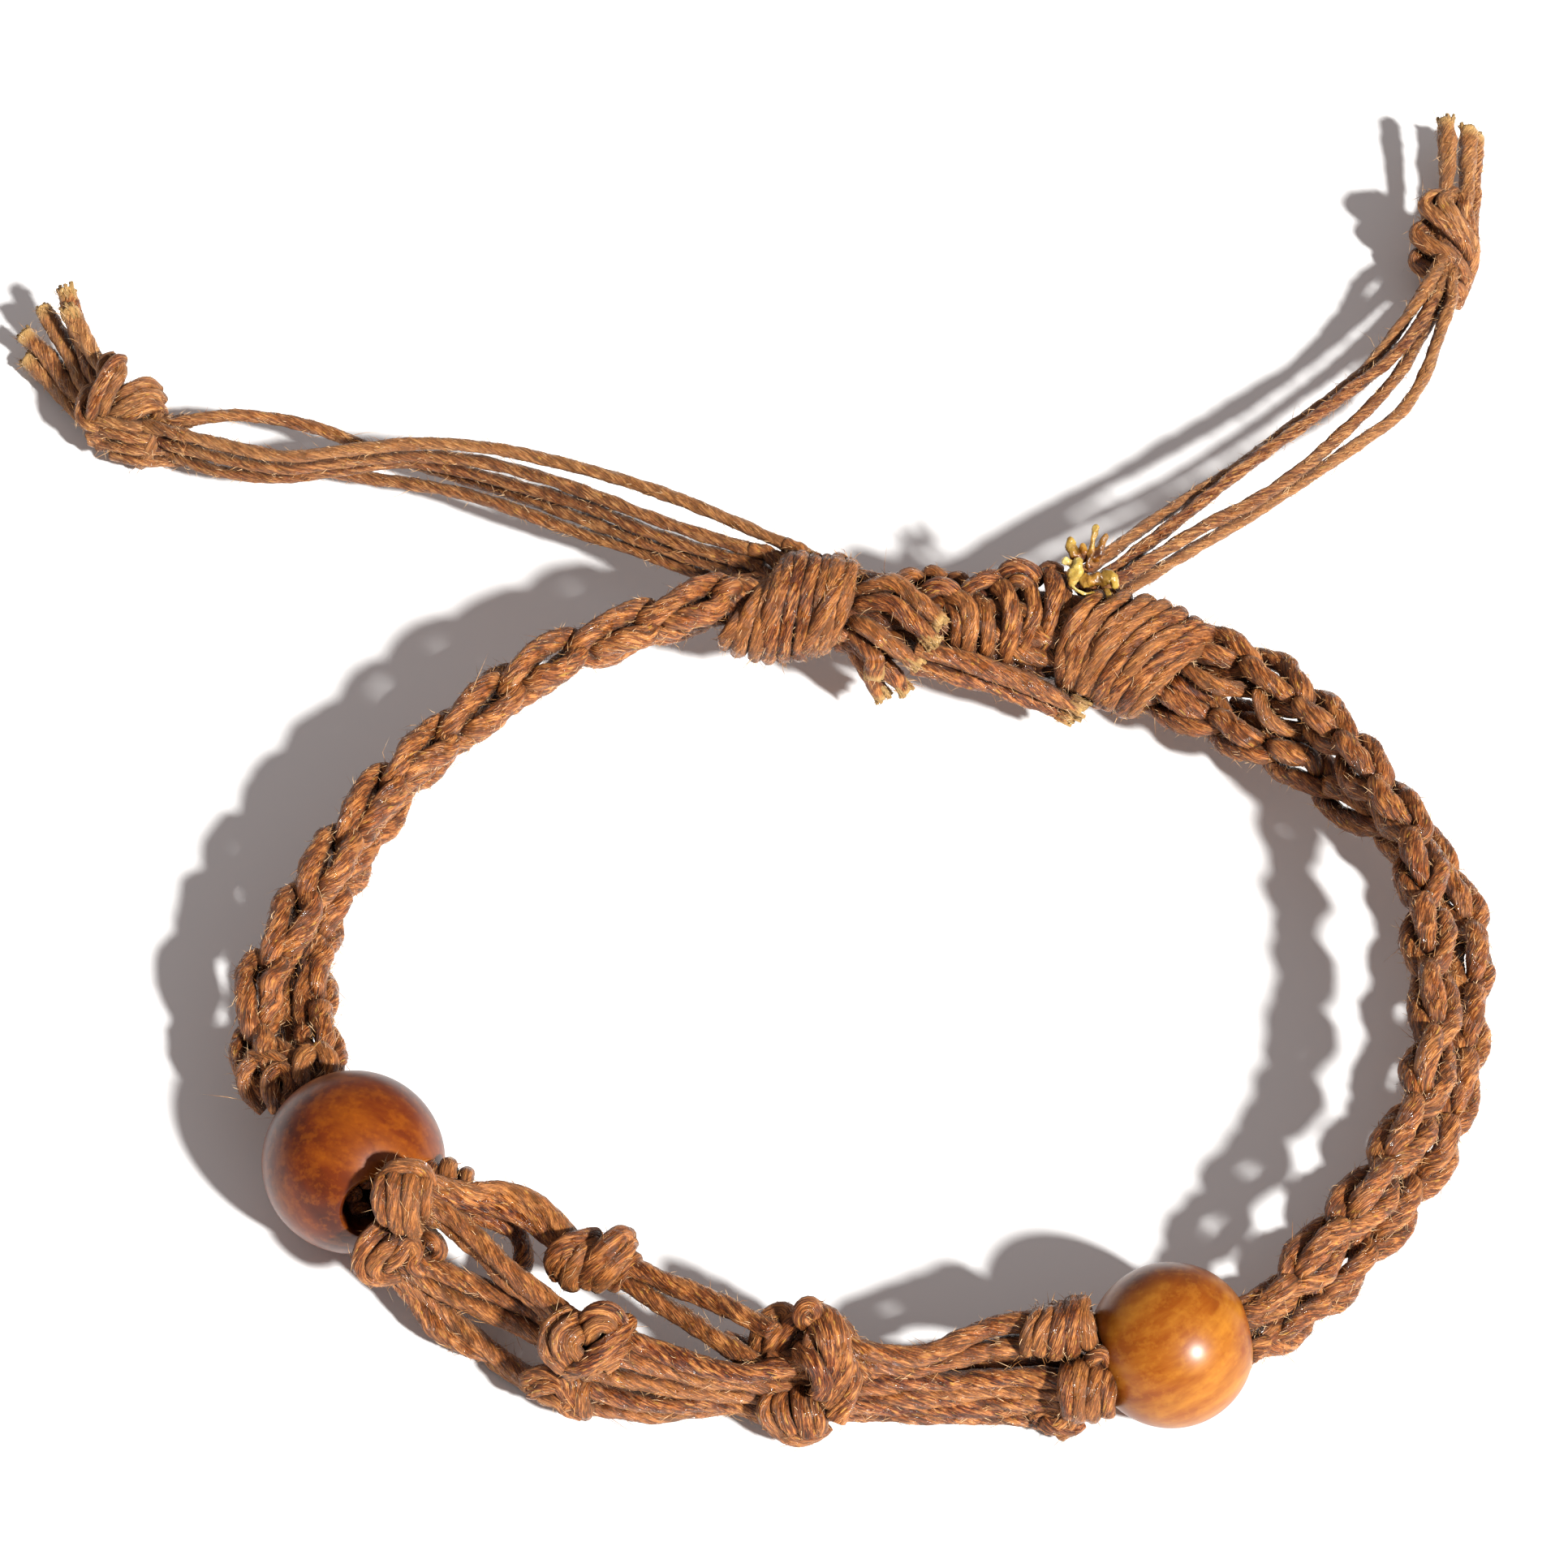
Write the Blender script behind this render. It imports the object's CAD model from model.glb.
"""Cord bracelet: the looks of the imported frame. The tables are in millimetres, in the frame of the CAD."""

import math

import bpy
import numpy as np
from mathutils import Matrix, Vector


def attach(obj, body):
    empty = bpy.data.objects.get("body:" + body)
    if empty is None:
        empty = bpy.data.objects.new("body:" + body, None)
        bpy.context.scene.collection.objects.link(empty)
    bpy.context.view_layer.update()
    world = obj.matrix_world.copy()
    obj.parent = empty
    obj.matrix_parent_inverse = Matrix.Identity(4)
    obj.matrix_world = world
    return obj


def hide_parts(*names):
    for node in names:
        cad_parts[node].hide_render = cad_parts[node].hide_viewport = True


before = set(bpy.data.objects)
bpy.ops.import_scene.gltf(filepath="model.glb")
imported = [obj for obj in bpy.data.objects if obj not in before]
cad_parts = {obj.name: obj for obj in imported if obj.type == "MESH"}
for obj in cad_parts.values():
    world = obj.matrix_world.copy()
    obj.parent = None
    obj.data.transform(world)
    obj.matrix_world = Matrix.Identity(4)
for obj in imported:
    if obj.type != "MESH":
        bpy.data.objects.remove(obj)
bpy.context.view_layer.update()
MM = 0.001
SEED = 11
rng = np.random.default_rng(SEED)

# The camera stands at the photograph's viewing angle
CAMERA_AT = (-0.005, -0.2161, 0.2922)
CAMERA_ELEVATION = math.radians(51.0)
CAMERA_ANGLE = math.radians(15.71)
SENSOR_WIDTH = 36
CLIP_NEAR = 0.01
CLIP_FAR = 10


def make_camera():
    data = bpy.data.cameras.new("camera")
    camera = bpy.data.objects.new("camera", data)
    bpy.context.scene.collection.objects.link(camera)
    camera.location = CAMERA_AT
    ahead = Vector((0, math.cos(CAMERA_ELEVATION), -math.sin(CAMERA_ELEVATION)))
    camera.rotation_euler = ahead.to_track_quat("-Z", "Y").to_euler()
    data.sensor_width = SENSOR_WIDTH
    data.angle = CAMERA_ANGLE
    data.clip_start = CLIP_NEAR
    data.clip_end = CLIP_FAR
    bpy.context.scene.camera = camera


make_camera()

# Lines

# Right and up in the picture, and from the bracelet to the camera
RIGHT = np.array([1.0, 0.0, 0.0])
UP = np.array([0.0, math.sin(CAMERA_ELEVATION), math.cos(CAMERA_ELEVATION)])
TO_CAMERA = np.array([0, -math.cos(CAMERA_ELEVATION), math.sin(CAMERA_ELEVATION)])
CURVE_STEPS = 12
FEWEST_POINTS = 4
FULL_TURN = 2 * math.pi
# A direction that no wrap, no sleeve and no hole of a bead follows
OBLIQUE = (0.3, -0.2, 1.0)
# Upright part of a direction from which a cord counts as steep
STEEP = 0.9


def unit(v):
    v = np.asarray(v, float)
    return v / np.linalg.norm(v)


def basis(v):
    """Axes a, b, c with c along v."""
    c = unit(v)
    a = unit(np.cross(c, OBLIQUE))
    return a, np.cross(c, a), c


def run_of(line):
    """Distance along a line at each of its points."""
    return np.concatenate([[0], np.cumsum(np.linalg.norm(np.diff(line, axis=0), axis=1))])


def spread(values, places):
    """Values spread evenly from 0 to 1, read at places."""
    return np.interp(places, np.linspace(0, 1, len(values)), values)


def even(line, step):
    """The line with its points evenly spaced."""
    run = run_of(line)
    count = max(FEWEST_POINTS, int(round(run[-1] / step)) + 1)
    at = np.linspace(0, run[-1], count)
    return np.stack([np.interp(at, run, line[:, k]) for k in range(3)], 1)


def smooth(points, step=0.2):
    """Evenly spaced points on the smooth curve through points, by Catmull and Rom."""
    p = np.asarray(points, float)
    last = len(p) - 1
    u = np.linspace(0, 1, CURVE_STEPS, endpoint=False)[:, None]
    out = []
    for i in range(last):
        a, b, c, d = p[max(i - 1, 0)], p[i], p[i + 1], p[min(i + 2, last)]
        square = 2 * a - 5 * b + 4 * c - d
        cube = 3 * b - a - 3 * c + d
        out.append(0.5 * (2 * b + (c - a) * u + square * u ** 2 + cube * u ** 3))
    out.append(p[-1:])
    return even(np.vstack(out), step)


def longer(line, at_start=0.0, at_end=0.0):
    """The line with its ends drawn out straight."""
    out = [line]
    if at_start:
        out.insert(0, [line[0] + unit(line[0] - line[1]) * at_start])
    if at_end:
        out.append([line[-1] + unit(line[-1] - line[-2]) * at_end])
    return np.vstack(out)


def carried(line):
    """Directions ahead on a line, to its side and above it, carried along without twist."""
    ahead = np.gradient(line, axis=0)
    ahead /= np.linalg.norm(ahead, axis=1)[:, None]
    normal = np.array([0.0, 0.0, 1.0]) if abs(ahead[0][2]) < STEEP else np.array([1.0, 0.0, 0.0])
    side = np.empty_like(ahead)
    for i in range(len(ahead)):
        normal = normal - ahead[i] * np.dot(normal, ahead[i])
        normal = normal / np.linalg.norm(normal)
        side[i] = normal
    return ahead, side, np.cross(ahead, side)


def between(least, more, shape=None):
    """Random values from least to least + more."""
    return least + more * rng.random(shape)


def toward(angle, a, b):
    """The direction at one angle from axis a towards axis b."""
    return math.cos(angle) * a + math.sin(angle) * b


def turned(angles, a, b):
    """The directions at many angles from axis a towards axis b."""
    return np.cos(angles)[..., None] * a + np.sin(angles)[..., None] * b


def seen(centre, points):
    """Points across, up and towards the eye from a centre."""
    p = np.asarray(points, float)
    return np.asarray(centre) + p[:, :1] * RIGHT + p[:, 1:2] * UP + p[:, 2:] * TO_CAMERA


# Meshes


def mesh_object(name, verts, faces, material):
    """A smooth shaded mesh object from vertices in millimetres."""
    mesh = bpy.data.meshes.new(name)
    mesh.from_pydata((np.asarray(verts) * MM).tolist(), [], faces)
    mesh.polygons.foreach_set("use_smooth", [True] * len(mesh.polygons))
    mesh.materials.append(material)
    mesh.update()
    obj = bpy.data.objects.new(name, mesh)
    bpy.context.scene.collection.objects.link(obj)
    return obj


def tube_faces(rings, sides):
    """The quads between neighbouring rings of a tube."""
    start = np.arange(rings - 1)[:, None] * sides
    here = np.arange(sides)
    after = (here + 1) % sides
    corners = [start + here, start + after, start + sides + after, start + sides + here]
    return np.stack(corners, 2).reshape(-1, 4)


# Twisted cord

PLIES = 3
PLY_SIDES = 6
SIDES = PLIES * PLY_SIDES
# Shares of the radius: furrows between plies, oval pressing, rough fibres, domed ends
PLY_DEPTH = 0.07
PRESSED = 0.07
ROUGH = 0.018
END_DOME = 0.12
# Slow changes of thickness along a cord: height, rate. Each cord starts them at a random phase.
WAVES = ((0.04, 1.9), (0.03, 4.7))
PHASES = 60
# How far the oval turns to and fro along a cord, and the rate
OVAL_SWAY, OVAL_RATE = 3, 0.6
# Shift of the fibre pattern from a cord to one of another tone
LAY_SHIFT = 37


class Yarn:
    """Twisted cords gathered into one mesh."""

    def __init__(self):
        self.verts = []
        self.faces = []
        self.lay = []
        self.tone = []
        self.tip = []
        self.ply = []
        self.count = 0
        self.lines = []

    def add(self, line, d, step=0.2, pitch=3.4, tone=None, swell=None, tips=(0, 0)):
        """A cord of diameter d along line.

        pitch is the length of one twist, swell the thickness from start to end, and tips the bleached
        lengths at the two ends.
        """
        line = even(line, step)
        ahead, side, above = carried(line)
        run = run_of(line)
        count = len(line)
        tone = rng.random() if tone is None else tone
        phase = PHASES * rng.random()
        corner = np.arange(SIDES)
        ply = np.sin(math.pi * (corner % PLY_SIDES) / PLY_SIDES)
        radius = d / 2 * (1 - PLY_DEPTH * (1 - ply))
        size = np.ones(count) if swell is None else spread(swell, run / run[-1])
        wobble = np.ones(count)
        for k, (height, rate) in enumerate(WAVES):
            wobble = wobble + height * np.sin(run * rate + (k + 1) * phase)
        angle = FULL_TURN * (corner[None, :] / SIDES + run[:, None] / pitch + tone)
        sway = OVAL_SWAY * np.sin(run * OVAL_RATE + phase)[:, None]
        pressed = 1 + PRESSED * np.cos(2 * angle + sway)
        rough = 1 + ROUGH * rng.normal(0, 1, (count, SIDES))
        reach = radius[None, :] * pressed * (size * wobble)[:, None] * rough
        rings = line[:, None, :] + reach[..., None] * turned(angle, side[:, None, :], above[:, None, :])
        dome = d * END_DOME
        ends = [line[:1] - ahead[:1] * dome, line[-1:] + ahead[-1:] * dome]
        self.verts.extend([rings.reshape(-1, 3), *ends])
        self.add_faces(count)
        self.add_marks(run, corner, ply, tone, tips)
        self.count += count * SIDES + 2
        self.lines.append((line, ahead, side, above, d / 2 * size))

    def add_faces(self, rings):
        """Faces of a cord, closed by a fan round a point at each end."""
        start = self.count
        self.faces.extend((tube_faces(rings, SIDES) + start).tolist())
        top = start + (rings - 1) * SIDES
        first, last = top + SIDES, top + SIDES + 1
        self.faces.extend([[first, start + (k + 1) % SIDES, start + k] for k in range(SIDES)])
        self.faces.extend([[last, top + k, top + (k + 1) % SIDES] for k in range(SIDES)])

    def add_marks(self, run, corner, ply, tone, tips):
        """Values that the material reads: place on the lay, tone, bleached tip, and height on the ply."""
        count = len(run)
        around = FULL_TURN * corner / SIDES
        parts = [np.cos(around)[None, :], np.sin(around)[None, :], (run + tone * LAY_SHIFT)[:, None]]
        lay = np.stack([np.broadcast_to(part, (count, SIDES)) for part in parts], 2).reshape(-1, 3)
        tip = np.zeros(count)
        if tips[0]:
            tip = np.maximum(tip, 1 - run / tips[0])
        if tips[1]:
            tip = np.maximum(tip, 1 - (run[-1] - run) / tips[1])
        self.lay.extend([lay, lay[:1], lay[-1:]])
        self.tone.append(np.full(count * SIDES + 2, tone))
        self.ply.append(np.concatenate([np.tile(ply, count), [1, 1]]))
        self.tip.extend([np.repeat(np.clip(tip, 0, 1), SIDES), tip[:1], tip[-1:]])

    def build(self, name, material):
        obj = mesh_object(name, np.vstack(self.verts), self.faces, material)
        marks = obj.data.attributes
        lay = np.vstack(self.lay).astype(np.float32)
        marks.new("lay", "FLOAT_VECTOR", "POINT").data.foreach_set("vector", lay.ravel())
        for label, values in (("tone", self.tone), ("tip", self.tip), ("ply", self.ply)):
            values = np.concatenate(values).astype(np.float32)
            marks.new(label, "FLOAT", "POINT").data.foreach_set("value", values)
        return obj


# Materials


def set_values(node, values):
    for name, value in values.items():
        node.inputs[name].default_value = value


def new_material(name, values):
    """A material with values set on its shader's own sockets."""
    material = bpy.data.materials.new(name)
    material.use_nodes = True
    tree = material.node_tree
    shader = tree.nodes["Principled BSDF"]
    set_values(shader, values)
    return material, tree, shader


def ramp(tree, source, *stops):
    """A colour ramp over source. A stop: place, colour."""
    node = tree.nodes.new("ShaderNodeValToRGB")
    elements = node.color_ramp.elements
    while len(elements) < len(stops):
        elements.new(0.5)
    for element, (place, colour) in zip(elements, stops):
        element.position = place
        element.color = (*colour, 1)
    tree.links.new(source, node.inputs["Fac"])
    return node.outputs["Color"]


def mapped(tree, source, key, value):
    """The source vector scaled or turned. key: Scale or Rotation."""
    node = tree.nodes.new("ShaderNodeMapping")
    node.inputs[key].default_value = value
    tree.links.new(source, node.inputs["Vector"])
    return node.outputs["Vector"]


def noise(tree, vector, scale, detail=3.0, roughness=0.55):
    node = tree.nodes.new("ShaderNodeTexNoise")
    set_values(node, {"Scale": scale, "Detail": detail, "Roughness": roughness})
    tree.links.new(vector, node.inputs["Vector"])
    return node.outputs["Fac"]


def lay_noise(tree, lay, around, along, scale, detail, roughness):
    """Noise drawn out along the lay of the cord."""
    return noise(tree, mapped(tree, lay, "Scale", (around, around, along)), scale, detail, roughness)


def mixed(tree, blend, share, first, second):
    """The second colour laid over the first. Share and colours are values or the outputs of nodes."""
    node = tree.nodes.new("ShaderNodeMix")
    node.data_type = "RGBA"
    node.blend_type = blend
    for key, value in (("Factor", share), ("A", first), ("B", second)):
        if isinstance(value, (int, float)):
            node.inputs[key].default_value = value
        elif isinstance(value, tuple):
            node.inputs[key].default_value = (*value, 1)
        else:
            tree.links.new(value, node.inputs[key])
    return node.outputs["Result"]


def ranged(tree, source, low, high, to_low, to_high):
    """The source between low and high, brought to between to_low and to_high."""
    node = tree.nodes.new("ShaderNodeMapRange")
    set_values(node, {"From Min": low, "From Max": high, "To Min": to_low, "To Max": to_high})
    tree.links.new(source, node.inputs["Value"])
    return node.outputs["Result"]


def layered(tree, colour, *layers):
    """Colours laid over one another. A layer: blend, source, its low and high, share at each, colour."""
    for blend, source, low, high, to_low, to_high, laid in layers:
        colour = mixed(tree, blend, ranged(tree, source, low, high, to_low, to_high), colour, laid)
    return colour


def attribute(tree, name, output="Fac"):
    node = tree.nodes.new("ShaderNodeAttribute")
    node.attribute_name = name
    return node.outputs[output]


def object_place(tree):
    return tree.nodes.new("ShaderNodeTexCoord").outputs["Object"]


def bumped(tree, shader, height, strength, distance):
    node = tree.nodes.new("ShaderNodeBump")
    set_values(node, {"Strength": strength, "Distance": distance})
    tree.links.new(height, node.inputs["Height"])
    tree.links.new(node.outputs["Normal"], shader.inputs["Normal"])


def cord_material(name, dark, middle, light):
    """Waxed twisted cord: fine fibres along the lay, stains, shaded folds, wax glints, bleached tips."""
    material, tree, shader = new_material(name, {
        "Sheen Weight": 0.1, "Sheen Roughness": 0.4, "Sheen Tint": (1.0, 0.68, 0.42, 1),
        "Specular IOR Level": 0.36,
    })
    lay = attribute(tree, "lay", "Vector")
    place = object_place(tree)
    fibres = lay_noise(tree, lay, 3.0, 0.9, 1.0, 3.0, 0.7)
    fine = lay_noise(tree, lay, 9.0, 1.6, 1.0, 2.0, 0.7)
    patches = lay_noise(tree, lay, 1.7, 1.0, 1.0, 2.0, 0.6)
    flecks = lay_noise(tree, lay, 2.6, 1.1, 1.5, 1.0, 0.4)
    stains = noise(tree, place, 620.0, 4.0, 0.62)
    wide = noise(tree, place, 150.0, 2.0, 0.5)
    waxy = noise(tree, place, 1800.0, 2.0, 0.5)
    folds = tree.nodes.new("ShaderNodeAmbientOcclusion")
    folds.samples = 6
    folds.inputs["Distance"].default_value = 0.0014
    strands = mixed(tree, "MIX", 0.45, fibres, fine)
    colour = layered(
        tree, ramp(tree, strands, (0.4, dark), (0.5, middle), (0.59, light)),
        ("MULTIPLY", stains, 0.46, 0.6, 0.0, 0.75, (0.6, 0.38, 0.24)),
        ("MULTIPLY", patches, 0.5, 0.66, 0.0, 0.7, (0.55, 0.34, 0.24)),
        ("MIX", patches, 0.47, 0.34, 0.0, 0.45, light),
        ("MULTIPLY", wide, 0.4, 0.62, 0.0, 0.5, (0.8, 0.62, 0.5)),
        ("MULTIPLY", attribute(tree, "ply"), 0.0, 0.6, 0.6, 0.0, (0.4, 0.27, 0.18)),
        ("MIX", attribute(tree, "tone"), 0.0, 1.0, 0.0, 0.22, light),
        ("MIX", flecks, 0.68, 0.74, 0.0, 0.6, (0.55, 0.3, 0.05)),
        ("MULTIPLY", folds.outputs["AO"], 0.2, 0.8, 1.0, 0.0, (0.14, 0.06, 0.04)),
        ("MIX", attribute(tree, "tip"), 0.0, 0.9, 0.0, 0.9, (0.56, 0.34, 0.12)),
    )
    tree.links.new(colour, shader.inputs["Base Color"])
    tree.links.new(ranged(tree, waxy, 0.42, 0.49, 0.12, 0.56), shader.inputs["Roughness"])
    bumped(tree, shader, strands, 1.0, 0.0003)
    return material


def fuzz_material():
    material, tree, shader = new_material("cord_fuzz", {"Specular IOR Level": 0.25, "Roughness": 0.5})
    colour = ramp(
        tree, noise(tree, object_place(tree), 1300.0, 1.0),
        (0.36, (0.26, 0.09, 0.02)), (0.48, (0.5, 0.24, 0.08)), (0.6, (0.78, 0.52, 0.29)),
    )
    tree.links.new(colour, shader.inputs["Base Color"])
    return material


def bead_material(name, deep, middle, pale, across, along, grain_turn, mottle, specks):
    """Varnished turned wood: fine streaks along the grain under a clear coat."""
    material, tree, shader = new_material(name, {
        "Roughness": 0.42, "Specular IOR Level": 0.1,
        "Coat Weight": 0.47, "Coat Roughness": 0.3, "Coat IOR": 1.5,
        "Subsurface Weight": 0.15, "Subsurface Radius": (1.0, 0.4, 0.1), "Subsurface Scale": 0.0012,
    })
    place = object_place(tree)
    grained = mapped(tree, place, "Rotation", grain_turn)
    grain = lay_noise(tree, grained, across, along, 1.0, 5.0, 0.62)
    fine = lay_noise(tree, grained, across * 5, along * 2, 1.0, 3.0, 0.6)
    cloud = noise(tree, place, mottle, 3.0, 0.6)
    golden = noise(tree, place, 1300.0, 3.0, 0.65)
    colour = layered(
        tree, ramp(tree, grain, (0.3, deep), (0.5, middle), (0.72, pale)),
        ("MULTIPLY", cloud, 0.5, 0.72, 0.0, 0.75, (0.42, 0.34, 0.2)),
        ("MULTIPLY", fine, 0.5, 0.75, 0.0, 0.4, (0.6, 0.5, 0.35)),
        ("MIX", golden, 0.48, 0.62, 0.0, specks, pale),
    )
    tree.links.new(colour, shader.inputs["Base Color"])
    bumped(tree, shader, fine, 0.12, 0.00005)
    return material


def amber_material():
    """Molten cord, from brown to yellow by its tone."""
    material, tree, shader = new_material("melted_tip", {
        "Roughness": 0.35, "Coat Weight": 0.2, "Coat Roughness": 0.2,
        "Subsurface Weight": 0.3, "Subsurface Radius": (1.0, 0.6, 0.15), "Subsurface Scale": 0.0006,
    })
    place = object_place(tree)
    cloud = noise(tree, place, 620.0, 3.0, 0.6)
    stops = (0.4, 0.52, 0.64)
    yellow = ramp(tree, cloud, *zip(stops, ((0.34, 0.2, 0.025), (0.5, 0.36, 0.075), (0.62, 0.52, 0.2))))
    brown = ramp(tree, cloud, *zip(stops, ((0.06, 0.015, 0.002), (0.24, 0.085, 0.006), (0.4, 0.2, 0.02))))
    tree.links.new(mixed(tree, "MIX", attribute(tree, "tone"), brown, yellow), shader.inputs["Base Color"])
    bumped(tree, shader, noise(tree, place, 1900.0, 3.0, 0.6), 0.8, 0.0002)
    return material


CORD = cord_material("waxed_cord", (0.02, 0.0033, 0.0004), (0.15, 0.031, 0.0035), (0.6, 0.252, 0.074))
TAIL = cord_material("tail_cord", (0.05, 0.012, 0.002), (0.205, 0.058, 0.01), (0.6, 0.3, 0.11))
FUZZ = fuzz_material()
BEAD_LEFT = bead_material(
    "bead_left_wood", (0.042, 0.0045, 0.0003), (0.12, 0.018, 0.0004), (0.28, 0.07, 0.0015),
    across=220.0, along=60.0, grain_turn=(0.4, 0.9, 0.3), mottle=330.0, specks=0.35,
)
BEAD_RIGHT = bead_material(
    "bead_right_wood", (0.08, 0.013, 0.0006), (0.23, 0.054, 0.002), (0.48, 0.2, 0.02),
    across=60.0, along=240.0, grain_turn=(0.5, 0.5, 0.2), mottle=90.0, specks=0.22,
)
AMBER = amber_material()

# Pieces

# The name, yarn and share of hairs of each piece
FUZZY = []


def dress(obj, slot, *nodes):
    """The piece takes the place of CAD nodes, and the one body carries it."""
    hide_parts(*nodes)
    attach(obj, "root")
    return obj


def finish_yarn(yarn, name, node, material=CORD, slot="waxed_cord", hairs=1.0):
    FUZZY.append((name, yarn, hairs))
    return dress(yarn.build(name, material), slot, node)


# Loose tails

TAIL_D = 0.9
TAIL_STEP = 0.17
TAIL_HIDDEN = 1.2
TAIL_HAIRS = 0.8
# Length of one twist: least, and how much more it may be
TAIL_PITCH = (7.0, 3)
TAILS = {
    "tail_left_1": [
        (-7.4, 33, 6.9), (-11.3, 35, 6.2), (-15.7, 37.4, 5.8), (-19.9, 40.1, 5.1), (-24.1, 42.8, 4.2),
        (-28.6, 45.1, 3.7), (-33.1, 47.2, 3.5), (-37.8, 49, 4), (-42.8, 49.6, 4.4), (-47.1, 49.1, 4),
    ],
    "tail_left_2": [
        (-7.4, 32.9, 5.2), (-11.4, 34.9, 5.1), (-15.2, 37, 4.8), (-19.1, 39, 4.3), (-23.1, 40.8, 4.4),
        (-26.9, 42.9, 3.8), (-30.9, 44.5, 3.1), (-35.1, 45.7, 2.6), (-39.3, 47.1, 2.6), (-43.5, 48.2, 2.7),
        (-47.1, 49.1, 2.7),
    ],
    "tail_left_3": [
        (-3.8, 33, 9), (-7.8, 35.4, 9), (-12, 37.8, 8.9), (-16.1, 40, 8.5), (-20.4, 42, 8),
        (-24.8, 43.6, 7.6), (-29.5, 44.5, 7.1), (-34.2, 44.5, 6.5), (-38.9, 44.5, 5.8), (-43.3, 46.2, 5.1),
        (-47.1, 47.9, 4.6),
    ],
    "tail_left_4": [
        (-6, 33.1, 8.7), (-9.8, 34.7, 8.5), (-13.9, 36.9, 8.1), (-17.7, 39.3, 7.6), (-21.6, 41.6, 7),
        (-25.8, 43.5, 6.4), (-30.2, 44.4, 5.9), (-34.8, 44.5, 5.3), (-39.3, 44.4, 4.7), (-43.5, 46, 4),
        (-47.1, 47.8, 3.4),
    ],
    "tail_left_5": [
        (-7.4, 33.1, 7.9), (-10.5, 34.6, 7.4), (-14.5, 36.8, 7), (-18.2, 39.3, 6.5), (-22.2, 41.5, 5.8),
        (-26.3, 43.5, 5.2), (-30.6, 44.9, 4.8), (-35.1, 44.7, 4.2), (-39.6, 44.6, 3.6), (-43.9, 45.8, 2.9),
        (-47.1, 48, 2.2),
    ],
    "tail_right_1": [
        (14.3, 30.6, 9.1), (18.9, 35.8, 8.2), (22.3, 39.3, 7.4), (25.6, 42.7, 6.5), (28.8, 46.4, 5.7),
        (32.1, 50, 5.1), (35.3, 53.6, 4.8), (37.9, 57.8, 4.5), (40.3, 62, 4.7),
    ],
    "tail_right_2": [
        (15.5, 30.4, 8.8), (20.5, 35.7, 8.2), (23.7, 39.3, 7.8), (27, 43, 7.3), (30.3, 46.5, 6.7),
        (33.6, 50.1, 6.1), (36.7, 53.7, 5.4), (39.2, 57.8, 4.7), (40.9, 62.2, 3.5),
    ],
    "tail_right_3": [
        (16.9, 30.4, 9), (22.7, 35.9, 8), (26.6, 38.8, 7.6), (30, 42.2, 7.1), (32.9, 46, 6.3),
        (35.7, 50, 5.5), (37.9, 54.1, 4.4), (39.7, 58.5, 3.3), (41.6, 62.8, 2.4),
    ],
    "tail_right_4": [
        (16.8, 30.3, 7.5), (21.6, 34.4, 7.1), (24.9, 37.3, 6.6), (28.1, 40.2, 6.2), (31.3, 43.3, 5.7),
        (34.4, 46.3, 5.3), (37.3, 49.5, 4.7), (39.3, 53.4, 4.2), (40.6, 57.5, 3.7), (41.9, 61.7, 3.3),
    ],
}


def tail_piece(name):
    """One tail with its first part hidden in the closure."""
    yarn = Yarn()
    line = even(longer(smooth(TAILS[name], TAIL_STEP), TAIL_HIDDEN), TAIL_STEP)
    yarn.add(line, TAIL_D, pitch=between(*TAIL_PITCH))
    return finish_yarn(yarn, name + "_cord", name, TAIL, "tail_cord", TAIL_HAIRS), line


# Knots, wraps and sleeve

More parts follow.
